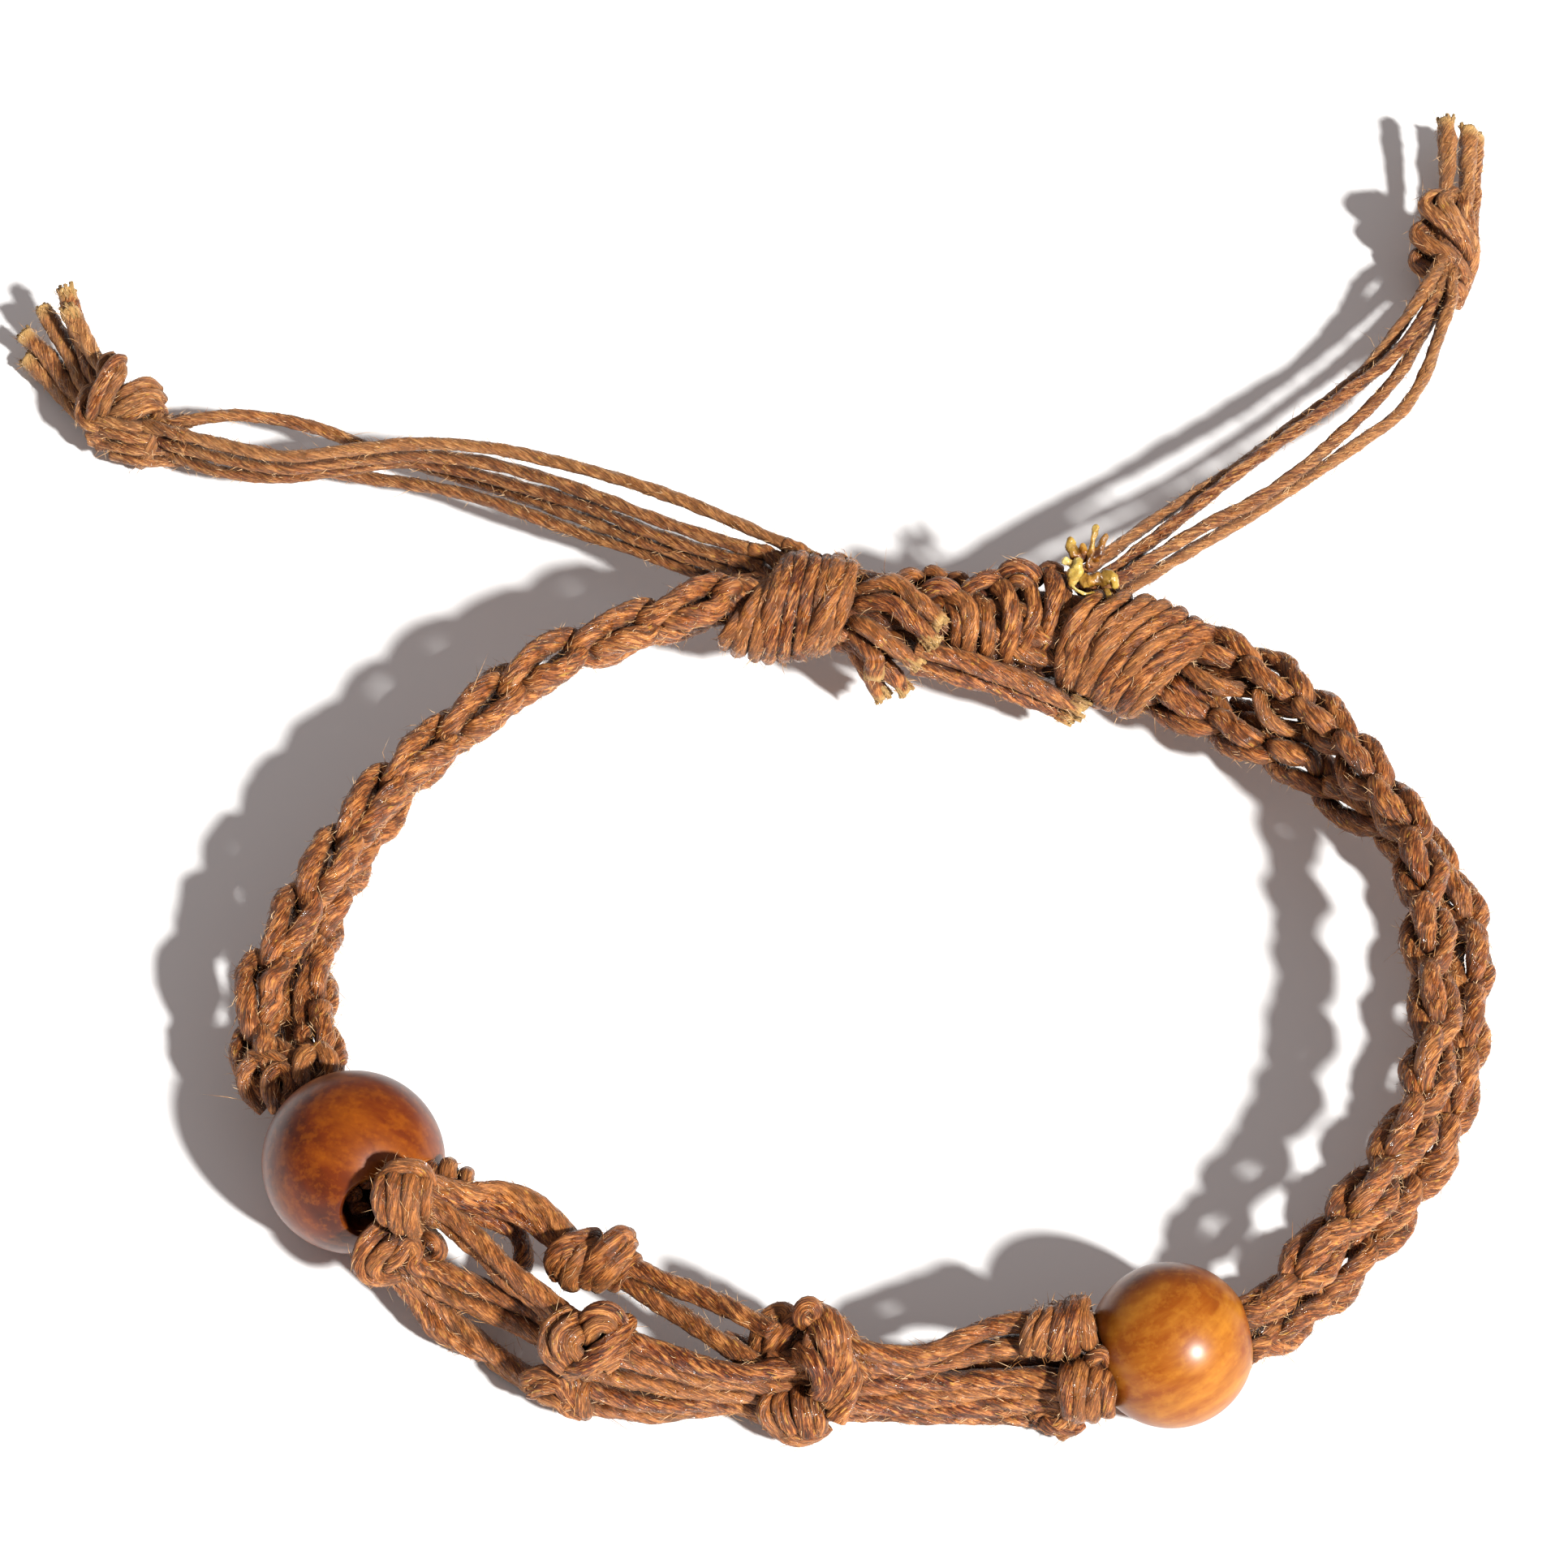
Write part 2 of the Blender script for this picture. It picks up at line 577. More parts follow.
# Their cords as the camera sees them: centre, then rings, then strokes.
# A ring: diameter, depth, then its top, its front and its bottom, each across and up.
# A stroke: diameter, then points: across, up, towards the eye.
SEEN = {
    "net_knot_1": ((-27, -20.3, 8.9), [
        (1.05, 1.5, -2, 2.5, -2.4, 1.2, -1.9, -0.2),
        (1.1, 1.7, -1.3, 2.9, -1.5, 1.2, -1.2, -0.7),
        (1.15, 1.7, -0.5, 2.8, -0.5, 1, -0.4, -0.8),
        (1, 1.3, 0.3, 2.4, 0.3, 1.4, 0.2, 0.2),
    ], [
        (1.05, [(-2.1, 2.3, 0.4), (-1.6, 2.9, 1), (-0.7, 3.1, 1.2), (0.2, 2.8, 0.9), (0.6, 2, 0.4)]),
        (2.3, [(-2.4, 1, 0), (-0.9, 1, 0), (0.6, 1, 0)]),
    ]),
    "net_knot_2": ((-29.5, -21.4, 5), [], [
        (1.15, [(1.1, 2.6, 0.4), (0, 2.5, 1.1), (-0.8, 1.6, 1.5), (-1.2, 0.6, 1.3), (-1, -0.3, 0.8),
                (0, -0.6, 0.6), (1.1, -0.3, 0.6)]),
        (1.1, [(1.7, 2.3, 0.7), (0.8, 1.6, 1.6), (0, 0.9, 1.8), (-0.4, 0.1, 1.4), (0.1, -0.3, 0.6)]),
        (1.1, [(0.4, 0.2, 1.1), (1.2, 0.9, 1.7), (1.7, 1.7, 1.5), (2.2, 1.2, 1.1), (1.9, 0.3, 0.9),
               (2.6, -0.2, 0.6)]),
        (1.1, [(2.2, 2, 0), (3.1, 1.8, 0.3), (3.6, 1.1, 0.2), (3.1, 0.5, 0), (2.3, 0.8, -0.2)]),
        (1, [(1.5, 2.6, -0.5), (2.6, 2.4, -0.3), (3.3, 1.5, -0.6)]),
        (2.2, [(-0.9, 0.6, 0), (0.5, 0.8, 0), (2.1, 0.5, -0.2)]),
    ]),
    "net_knot_3": ((-24.4, -16.7, 7), [
        (1, 0.9, -2.1, 1.1, -2.1, 0.4, -1.7, -0.2),
        (1.1, 1, -1.1, 1.2, -1.1, 0.5, -0.9, -0.2),
        (1, 0.9, 0, 0.7, 0, 0.1, -0.2, -0.5),
    ], [
        (1.3, [(-2.1, 0.5, -0.1), (-1, 0.3, 0), (0.1, 0, -0.1)]),
    ]),
    "net_knot_4": ((-16.8, -21.6, 6), [], [
        (1.25, [(0.4, 1.5, 0), (-0.5, 1.4, 0.9), (-1.4, 1.1, 1.2), (-2, 0.5, 1.1), (-2.2, -0.1, 0.7),
                (-1.8, -0.9, 0.2)]),
        (1.3, [(0.4, 1.1, 0.6), (-0.3, 0.6, 1.5), (-0.8, 0, 1.6), (-1.2, -0.7, 1.1), (-1.1, -1.4, 0.2)]),
        (1.2, [(-0.2, 0.8, 0.6), (-1.1, 0.5, 1.2), (-1.5, 0, 1.2), (-1.7, -0.7, 0.7)]),
        (1.5, [(-0.2, -1.1, 0.4), (0.2, -0.2, 1.6), (0.8, 0.6, 2.1), (1.4, 1.3, 2), (1.8, 1.6, 1.2),
               (2.2, 1.4, 0.3)]),
        (1.3, [(0.5, -1.4, 0.4), (1, -0.7, 1.5), (1.6, 0.1, 1.8), (2.1, 0.7, 1.4), (2.3, 1.1, 0.4)]),
        (1.2, [(1.3, -1.4, 0.2), (1.9, -0.7, 0.9), (2.4, -0.1, 0.8), (2.7, 0.1, 0.2)]),
        (2.2, [(-2, 0.1, 0.1), (-0.1, 0, 0.3), (2.3, -0.1, -0.1)]),
    ]),
    "net_knot_5": ((-17, -27.3, 6), [], [
        (1.2, [(0, 0.5, 0.6), (0.2, 1.4, 1.4), (0.9, 1.9, 1.7), (1.7, 1.8, 1.6), (2.4, 1, 1.3),
               (2.2, 0.3, 1)]),
        (1.1, [(0.4, 0.1, 1.5), (0.6, 0.9, 2.1), (1.3, 1.2, 2.1), (1.9, 0.7, 1.6)]),
        (1.3, [(2.7, 1.2, 0.8), (2.1, 0.5, 1.7), (1.5, -0.1, 2.2), (0.8, -0.7, 2.2), (0, -1.4, 1.8),
               (-1, -1.8, 0.9)]),
        (1.25, [(-0.9, 1.6, 0.3), (-1.7, 1.1, 0.9), (-2.1, 0.2, 1.1), (-2, -0.6, 1.2), (-1.4, -1.3, 1.2),
                (-0.7, -1.6, 0.8)]),
        (1.2, [(-0.2, 1.3, 0.9), (-0.9, 1, 1.6), (-1.4, 0.4, 1.8), (-1.3, -0.4, 1.8), (-0.7, -1.1, 1.4)]),
        (1.1, [(0.1, 0.6, 1.4), (-0.4, 0.4, 2), (-0.7, -0.2, 2.1), (-0.2, -0.8, 1.8)]),
        (1.1, [(2.9, 0.4, 0.3), (2.2, -0.3, 1.2), (1.5, -0.8, 1.6), (0.8, -1.4, 1.4), (0.1, -2, 0.6)]),
        (1.1, [(2.6, -0.3, 0.1), (2.1, -0.9, 0.6), (1.2, -1.6, 0.6)]),
        (2.6, [(-1.8, 0.3, 0), (0.1, 0.3, 0.3), (2.4, -0.4, 0)]),
    ]),
    "net_knot_6": ((-18.4, -29, 2.2), [
        (1.2, 1.2, 1.3, 1.3, 1.1, 0.3, 1.4, -0.7),
    ], [
        (1.2, [(-2.2, 1, 0.1), (-1.3, 1.6, 0.8), (-0.3, 1.7, 1.2), (0.4, 1.3, 1.3), (0.7, 0.5, 1.2),
               (0.3, -0.3, 0.7)]),
        (1.15, [(-1.8, 0.5, 0.2), (-1, 0.9, 0.9), (-0.1, 0.9, 1.2), (0.5, 0.2, 1.1), (1.2, -0.5, 0.6)]),
        (1.1, [(-1.2, 0.1, 0.1), (-0.3, 0, 0.7), (0.4, -0.5, 0.6), (1.2, -0.8, 0.3)]),
        (1.9, [(-2, 0.8, -0.2), (-0.1, 0.5, 0), (1.6, 0.2, 0)]),
    ]),
    "net_knot_7": ((-4.1, -27.1, 7), [], [
        (1.25, [(-2.5, -1.3, -0.9), (-2.2, -0.1, -0.5), (-1.7, 0.7, -0.4), (-0.9, 1, -0.3),
                (-0.5, 0.2, -0.2), (-0.7, -1.1, -0.2)]),
        (1.25, [(-1.2, -1.6, -0.4), (-0.8, -0.4, 0), (-0.3, 0.4, 0.2), (0.3, 0.7, 0.2)]),
        (1.2, [(-1.9, -1.6, -0.8), (-1.5, -0.6, -0.1), (-1.1, 0.2, 0)]),
        (1.05, [(0.5, 0.3, 1.2), (0.1, 0.9, 1.8), (0.3, 1.5, 2), (0.8, 1.6, 2), (1.1, 1.1, 1.9),
                (0.8, 0.7, 1.7), (0.4, 1, 1.8)]),
        (1.4, [(0.9, 1.2, 0.8), (1.7, 0.8, 1.7), (2.2, 0, 2.3), (2.5, -0.9, 2.2), (2.6, -2.1, 1.7),
               (2.3, -3.2, 1.1), (1.8, -4.5, 0.1)]),
        (1.25, [(1, 0.5, 1.5), (1.5, -0.1, 2.4), (1.8, -1, 2.5), (2, -1.9, 2.1), (1.9, -3, 1.3)]),
        (1.3, [(0.1, -1.3, 1), (0.6, -1.6, 2.1), (1.1, -2.2, 2.4), (1.4, -3, 2), (1.3, -3.8, 1.1)]),
        (1.2, [(1.1, 0.1, 1.2), (0.8, -0.6, 1.6), (0.5, -1.4, 1.5), (-0.2, -2.1, 0.7)]),
        (1.2, [(1.8, 0.7, 0.2), (2.7, -0.1, 0.7), (3.2, -0.9, 0.5), (3.8, -1.3, 0.1)]),
        (1.2, [(2.7, -1.4, 1), (3.3, -2.1, 0.7), (4, -2.6, 0)]),
        (2.3, [(-1.9, -0.6, -1), (0.3, -0.3, -0.6), (3, -1, -0.3)]),
        (2.4, [(-1.7, -1.9, -0.9), (0, -2, -0.5), (2.5, -2, -0.3)]),
    ]),
    "net_knot_8": ((-4.7, -30.4, 2.5), [], [
        (1.25, [(-0.7, 1.6, 0.1), (-1.3, 0.8, 0.7), (-1.4, 0.1, 0.9), (-0.8, -0.5, 0.9), (0, -1.1, 0.6)]),
        (1.2, [(-0.2, 1.6, 0.3), (-0.5, 0.8, 1.1), (-0.3, 0, 1.3), (0.3, -0.8, 1)]),
        (1.2, [(0.6, 1.8, 0.5), (0.6, 0.9, 1.4), (0.9, 0, 1.5), (1.2, -0.9, 0.8)]),
        (1.2, [(1.4, 1.7, 0.5), (1.5, 0.8, 1.3), (1.8, 0, 1.3), (1.8, -0.7, 0.6)]),
        (1.2, [(-1.1, -0.5, 0), (0.1, -1.2, 0.4), (1.4, -1.1, 0.3), (2.2, -0.5, 0)]),
        (2.3, [(-1.5, 0.3, -0.1), (0.1, 0.2, 0), (2.2, 0.3, -0.1)]),
    ]),
    "net_knot_9": ((11.2, -27.3, 7.1), [
        (1.05, 1.5, -0.9, 1, -1.6, -0.1, -1.6, -1.1),
        (1.1, 1.7, -0.3, 1.1, -0.9, -0.1, -0.9, -1.2),
        (1.15, 1.8, 0.4, 1.2, 0.1, -0.1, 0, -1.3),
        (1.15, 1.8, 1.1, 1.5, 0.9, 0.2, 1, -1.2),
        (1.15, 1.6, 1.6, 1.6, 1.7, 0.2, 2.1, -0.8),
    ], [
        (2.5, [(-1.8, -0.3, 0), (0.2, -0.1, 0), (2.3, 0, 0)]),
    ]),
    "net_knot_10": ((11.9, -30.1, 4.6), [
        (1.15, 1.5, 0.2, 1.6, 0, 0.2, 0.2, -1.2),
        (1.1, 1.6, 0.8, 1.8, 0.7, 0.2, 0.7, -1.4),
        (1.15, 1.5, 1.8, 1.5, 1.5, 0, 1.5, -1.3),
        (1.15, 1.4, 2.5, 1.3, 2.4, 0, 2.4, -1.1),
    ], [
        (1.1, [(1.2, 1.6, 0.5), (1.7, 2.3, 1), (2.2, 2.4, 1), (2.5, 1.8, 0.7)]),
        (2.3, [(-0.3, 0.3, 0), (1.3, 0.2, 0), (2.7, 0.2, 0)]),
    ]),
    "net_knot_11": ((11, -30.1, 1.4), [], [
        (1.2, [(-1, 0.4, 0), (-0.4, 1, 0.6), (0.3, 1.2, 0.9), (0.8, 0.7, 0.9), (0.5, 0, 0.8),
               (-0.3, -0.2, 0.4)]),
        (1.15, [(-0.4, 0.1, 0.5), (0.3, -0.3, 0.7), (1.2, -0.4, 0.5), (1.8, 0, 0.2)]),
        (1.1, [(1.4, 0.5, 0.4), (1.2, -0.2, 0.6), (0.6, -0.7, 0.2)]),
        (1.7, [(-0.9, 0.3, -0.1), (0.4, 0.1, 0), (1.4, 0, 0)]),
    ]),
    "tail_knot_left": ((-50.9, 50.5, 3), [], [
        (1.05, [(-1.9, -0.2, 0.6), (-1.6, 0.8, 1.4), (-1.2, 1.9, 1.7), (-0.7, 3, 1.8), (-0.2, 3.8, 1.4),
                (0.2, 4, 0.6)]),
        (1, [(-1, 0.3, 0.9), (-0.7, 1.2, 1.5), (-0.2, 2.2, 1.7), (0.2, 3.1, 1.5), (0, 3.8, 0.8),
             (-0.6, 4.2, 0)]),
        (0.9, [(-0.9, 2.5, -0.1), (-1.2, 3.4, 0.3), (-0.9, 4.1, 0.3), (-0.3, 4.3, 0.2)]),
        (1, [(-1.3, 2.1, 0.1), (-2.1, 1.9, 0.2), (-2.6, 1.1, 0.2), (-2.6, 0.2, 0.4), (-2.1, -0.4, 0.7),
             (-1.2, -0.6, 0.9)]),
        (1.1, [(-0.6, 0.6, 0.5), (0.2, 1.5, 1.2), (1.2, 2.1, 1.4), (2.1, 2.4, 1), (2.6, 2, 0.2)]),
        (1.1, [(-0.4, 0.2, 0.8), (0.6, 0.8, 1.6), (1.6, 1.4, 1.7), (2.4, 1.6, 1.1), (2.9, 1.3, 0.2)]),
        (1.1, [(0.3, -0.1, 0.9), (1.2, 0.3, 1.6), (2.1, 0.8, 1.5), (2.7, 0.8, 0.9), (2.9, 0.4, 0.1)]),
        (1.6, [(-0.4, 0.8, 0.2), (1.1, 1.1, 0.5), (2.3, 1.3, 0)]),
        (1, [(-2.4, -0.3, 0.3), (-1.1, -0.2, 1), (0.3, -0.5, 1.5), (1.7, -0.6, 1.5), (3.1, -0.3, 1),
             (4.5, -0.1, 0.6)]),
        (1, [(-2.1, -1, 0.1), (-0.9, -0.9, 0.9), (0.6, -1.2, 1.5), (2, -1.4, 1.6), (3.3, -1.2, 1.1),
             (4.6, -1.1, 0.7)]),
        (1, [(-1.5, -1.7, -0.1), (0, -1.9, 0.8), (1.4, -2.1, 1.3), (3, -2.1, 1), (4.6, -2, 0.5)]),
        (1, [(-0.5, -2.4, -0.2), (0.8, -2.7, 0.5), (2.2, -2.9, 0.7), (4.5, -2.8, 0.2)]),
        (1.05, [(2.7, 0.6, 0.3), (2.6, -0.5, 1.4), (2.4, -1.7, 1.6), (1.9, -2.6, 0.8), (1.4, -3, 0)]),
        (2.3, [(-2, -0.8, -0.5), (0.7, -1.3, -0.3), (3.8, -1.6, -0.2)]),
    ]),
    "tail_knot_right": ((42.3, 67.8, 2.6), [], [
        (1.3, [(-0.5, 3.4, 0), (-1.6, 3.1, 0.7), (-1.8, 2.4, 1.1), (-1.1, 1.8, 1.6), (-0.1, 0.9, 1.8),
               (0.8, -0.1, 1.3), (1.3, -1.1, 0.5)]),
        (1.2, [(0.4, 3.5, 0.2), (-0.6, 2.8, 1.3), (-0.1, 2, 1.8), (0.6, 1, 1.6), (1.3, 0.1, 0.9),
               (1.6, -0.7, 0.3)]),
        (1.3, [(-0.9, 1.3, 0), (-2.2, 1, 0.6), (-2.4, 0.4, 0.9), (-1.7, -0.2, 1.4), (-0.6, -0.8, 1.8),
               (0.4, -1.7, 1.5), (1, -2.5, 0.7)]),
        (1.3, [(-0.9, -0.6, 0), (-2.2, -0.9, 0.5), (-2.3, -1.5, 0.7), (-1.7, -2, 1.2), (-0.7, -2.5, 1.5),
               (0.2, -3.2, 1), (0.7, -3.8, 0.5)]),
        (1.2, [(0.9, 3.4, 0.4), (1, 2.1, 0.8), (1.4, 0.8, 0.7), (1.5, -0.6, 0.6), (1.2, -2.1, 0.6),
               (0.7, -3.4, 0.4), (0.2, -4.5, 0.2)]),
        (1.1, [(-1.3, -2.8, 0.4), (-1.1, -3.6, 0.4), (-1.4, -4.6, 0.2)]),
        (1.1, [(-0.7, -3, 0.6), (-0.4, -3.8, 0.6), (-0.6, -4.8, 0.3)]),
        (1.3, [(-1.4, 2.2, 0.1), (-1.3, 0.5, 0.5), (-1.4, -1.1, 0.4), (-1.2, -2.6, 0.1)]),
        (2.6, [(-0.8, 2.6, 0), (-0.2, 0.6, 0.4), (-0.3, -1.2, 0.4), (-0.4, -3, 0.2)]),
    ]),
    "knotted_sleeve": ((6.6, 27.9, 7.55), [], [
        (1.25, [(-1.3, 1.4, 1.4), (-0.6, 1.7, 2.2), (0.2, 1.4, 2.8), (0.6, 0.4, 3.1), (0.5, -0.9, 2.9),
                (0.4, -2.1, 1.9), (0.4, -2.8, 0.4)]),
        (1.1, [(-0.8, 1.1, 2), (-0.2, 0.3, 2.8), (-0.2, -0.9, 2.6), (-0.4, -2, 1.6), (-0.4, -2.6, 0.4)]),
        (1.2, [(0.8, 1.7, 1.6), (1.5, 0.8, 2.7), (1.7, -0.3, 3), (1.7, -1.6, 2.4), (1.4, -2.4, 1.4),
               (1.3, -3, 0.2)]),
        (1.35, [(2.2, 2.6, 1.2), (2.8, 2.2, 2.4), (3.2, 1.2, 3), (3.3, -0.1, 3.1), (3.1, -1.4, 2.5),
                (3, -2.4, 1.4), (3.1, -3.1, 0.2)]),
        (1.2, [(4, 2.9, 0.8), (4.6, 1.9, 2), (4.8, 0.7, 2.6), (4.4, -0.6, 2.7), (4.1, -1.9, 1.8),
               (4, -3, 0.4)]),
        (1.3, [(5.9, 3.4, 1), (6.2, 2.3, 2.2), (6, 1, 2.8), (5.7, -0.5, 2.8), (5.3, -1.9, 2),
               (5.1, -2.9, 0.8)]),
        (1.1, [(6.7, 3.2, 0.6), (6.9, 1.9, 1.6), (6.8, 0.7, 2.1), (6.4, -0.4, 2.2), (6.1, -1.6, 1.6)]),
        (1.1, [(-4.8, 2.3, 0.6), (-4, 2.9, 1.6), (-3.3, 3.3, 1.6), (-2.7, 3, 1)]),
        (1.3, [(-3.1, 1.6, 1.4), (-2.3, 2.1, 2.2), (-1.5, 2.5, 2.4), (-0.7, 2.3, 2.3), (-0.2, 1.7, 1.6)]),
        (1, [(-2.4, 3.1, 0.2), (-1.8, 3.5, 0.6), (-1.1, 3, 0.8)]),
        (1.2, [(-0.1, 1.7, 1.4), (0.6, 2.4, 2.1), (1.5, 2.9, 2.1), (2.4, 3, 1.7), (2.9, 2.5, 1.2)]),
        (1.15, [(2.7, 2.8, 1), (3, 3.5, 1.8), (3.8, 3.8, 2), (4.6, 3.5, 1.8), (5.1, 2.9, 1)]),
        (1, [(3.2, 2.4, 1.4), (3.8, 2.9, 2.1), (4.5, 2.5, 1.7)]),
        (1, [(-0.7, 2.9, 0.2), (0, 3.1, 0.6), (0.5, 2.5, 0.8)]),
        (1.1, [(5.2, 3.2, 0.4), (5.8, 3.7, 0.9), (6.5, 3.5, 0.6)]),
        (1.1, [(-1.8, -1.6, 1.2), (-1, -1.8, 1.5), (0.9, -2.4, 1.6), (3, -2.9, 1.3), (4.9, -3.4, 0.8)]),
        (1.2, [(-6.5, 1.8, 0.8), (-4.5, 2.2, 1.4), (-2.9, 1.5, 1.6), (-1, 0.5, 1.6)]),
        (1.2, [(-6.6, 0.5, 0.2), (-4.4, -0.3, 0.8), (-2.3, -1.1, 1), (-0.2, -1.6, 0.8)]),
    ]),
    "wrap_left": ((-4.2, 29, 7.8), [
        (1.05, 2.7, -2.6, 0.7, -4, -1, -4.7, -2.2),
        (1.15, 2.9, -1.9, 1.7, -3.2, -0.6, -3.8, -2.7),
        (1, 3, -1, 2.6, -2.2, -0.3, -2.7, -3),
        (1.1, 3.1, -0.2, 3.3, -1.3, 0, -1.8, -3.1),
        (1, 3.15, 0.4, 3.5, -0.4, 0.1, -0.9, -3.1),
        (1.15, 3, 1.3, 3.2, 0.6, 0.2, 0.2, -2.9),
        (1, 3.15, 2.1, 3.2, 1.5, 0.2, 1, -2.7),
        (1.2, 3.2, 2.8, 3.2, 2.2, 0.4, 1.7, -2.4),
        (1.15, 3.1, 3.6, 2.9, 3.1, 0.5, 2.3, -2),
    ], [
        (1.1, [(-0.5, 3.3, 0.3), (-1.2, 1.6, 2.6), (-1.7, -0.3, 3.4), (-2.5, -2.5, 1.6)]),
        (1, [(3.4, 2.8, 0.8), (2.6, 1.3, 3.2), (1.6, -0.7, 3.5), (0.5, -2.6, 1.6)]),
    ]),
    "wrap_right": ((16.75, 26, 7.4), [
        (1.25, 2.9, -1.1, 3.3, -3, 1.1, -3.4, -2.1),
        (1.2, 3, 0.6, 3.3, -2, 1, -2.8, -2.4),
        (1.25, 3.1, 2.1, 3, -0.9, 0.7, -2.1, -2.5),
        (1.2, 3.1, 3.2, 2.7, -0.2, 0.4, -1.7, -2.8),
        (1.3, 3.2, 4.2, 2.2, 0.7, -0.1, -1.1, -3.3),
        (1.25, 3.1, 5.3, 1.5, 1.6, -0.7, -0.4, -3.6),
        (1.35, 3.1, 6.1, 1, 2.5, -1, 0.5, -3.9),
        (1.1, 2.9, 6.2, 0.5, 3.2, -1.6, 1.1, -4.1),
    ], [
        (1.1, [(2.4, 2.9, 0.5), (0.6, 1.7, 2.7), (-1.1, -0.1, 3.5), (-2.3, -2.7, 1.2)]),
        (1.1, [(5.6, 1.3, 0.8), (3.2, 0.7, 3), (1.3, -0.8, 3.6), (-0.6, -3.6, 1.2)]),
        (1, [(-0.6, 3.2, 0.5), (-2.1, 1.8, 2.4), (-2.9, -0.1, 3.2), (-3.1, -2.3, 1.2)]),
    ]),
}
# A ring runs a little more than once round, and leans less at its back than at its front
RING_FROM = -0.15
RING_TO = FULL_TURN + 0.1
RING_POINTS = 60
BACK_LEAN = 0.4
STROKE_STEP = 0.18
SEEN_STEP = 0.19
SEEN_PITCH = 13


def seen_ring(centre, depth, top, front, bottom):
    """One turn of cord through its top, front and bottom, round the back of its core."""
    top, front, bottom = (np.array([*p, 0.0]) for p in (top, front, bottom))
    middle, half = (top + bottom) / 2, (top - bottom) / 2
    bow = front - middle
    angle = np.linspace(RING_FROM, RING_TO, RING_POINTS)[:, None]
    out = np.sin(angle)
    lean = np.where(out > 0, out ** 2, -BACK_LEAN * out ** 2) * bow
    return seen(centre, middle + half * np.cos(angle) + lean + np.array([0, 0, depth]) * out)


def seen_yarn(name):
    """The rings and strokes of one piece."""
    centre, rings, strokes = SEEN[name]
    yarn = Yarn()
    for d, depth, *p in rings:
        yarn.add(seen_ring(centre, depth, p[0:2], p[2:4], p[4:6]), d, step=SEEN_STEP, pitch=SEEN_PITCH)
    for d, points in strokes:
        yarn.add(smooth(seen(centre, points), STROKE_STEP), d, step=SEEN_STEP, pitch=SEEN_PITCH)
    return yarn


# End knots and frayed ends

END_STEP = 0.15
FRAYED_D = 1.1
FRAYED_SWELL = (0.9, 1, 1.15, 1.25, 1.15)
FRAYED_PITCH = 8
FRAYED_PALE = 1.1
FRAYED_FIBRES = 16
FRAYED_FAN = 0.45
# A cord that leads on into a knot starts at these points of the seen one
LEAD_FROM = (-9, -5, -1)
LEAD_D = 0.98
LEAD_STEP = 0.18
LEAD_PITCH = 8
# Loose fibres at a cut end. A pair: least, and how much more it may be. Distance from the middle in
# radii of the cord, growth of it up to the tip, share of the length of the tuft, diameter
FIBRE_OFF = (0.3, 0.6)
FIBRE_FAN = (1.0, 0.5)
FIBRE_LENGTH = (0.2, 0.8)
FIBRE_D = (0.2, 0.12)
# How far before the cord's end a fibre starts and begins to fan out, its distance from the middle there
# in shares of that at its start, and how much its tip strays
FIBRE_ROOT = 1.1
FIBRE_NECK = 0.2
NECK_FAN = 1.1
FIBRE_SHAKE = 0.05
FIBRE_STEP = 0.25
FIBRE_PITCH = 5
ENDS_LEFT = [
    [(-51.2, 53, 4.1), (-52.5, 54.5, 4.4), (-53.6, 56.4, 4.8), (-54.8, 58.7, 5.2)],
    [(-51.6, 52.8, 3.4), (-52.9, 54.3, 3.2), (-54, 57.1, 3.9), (-55.2, 61, 4.8)],
    [(-52.4, 52.4, 2.6), (-53.8, 54.4, 2.6), (-55.2, 57.5, 3), (-56.9, 60.4, 3.6)],
    [(-52.8, 52, 2), (-54.5, 54.1, 1.9), (-56.3, 57, 2.1), (-58.2, 59.1, 2.4)],
    [(-53, 51.4, 1.2), (-54.6, 53.4, 1.2), (-56.4, 56, 1.2), (-58, 57.8, 1.3)],
]
ENDS_RIGHT = [
    [(41.9, 70.6, 3.2), (42.3, 72.6, 3.5), (42.6, 75.6, 3.8), (42.7, 78.7, 4)],
    [(43, 69.9, 2.7), (43.7, 71.7, 2.7), (44.1, 75.3, 2.7), (44.5, 79, 2.8)],
    [(43.8, 69, 1.8), (44.2, 70.9, 1.7), (44.6, 75.3, 1.7), (45.1, 79.4, 1.7)],
]


def tuft(yarn, line, d, count, reach, bleach=9):
    """Loose fibres that fan out of the end of a cut cord. bleach is their pale length."""
    ahead, side, above = (axis[-1] for axis in carried(line))
    end = line[-1]
    for _ in range(count):
        angle = FULL_TURN * rng.random()
        off = toward(angle, side, above) * d / 2 * between(*FIBRE_OFF)
        tip = end + off * between(*FIBRE_FAN) + ahead * reach * between(*FIBRE_LENGTH)
        fibre = [end - ahead * FIBRE_ROOT + off, end - ahead * FIBRE_NECK + off * NECK_FAN]
        fibre.append(tip + rng.normal(0, FIBRE_SHAKE, 3))
        yarn.add(smooth(fibre), between(*FIBRE_D), step=FIBRE_STEP, pitch=FIBRE_PITCH, tips=(0, bleach))


def lead_in(yarn, line, inside):
    """A cord that leads the end of a line on into its knot or wrap."""
    inside = np.array(inside)
    points = [*line[list(LEAD_FROM)], (line[-1] + inside) / 2, inside]
    yarn.add(smooth(points, LEAD_STEP), LEAD_D, step=LEAD_STEP, pitch=LEAD_PITCH)


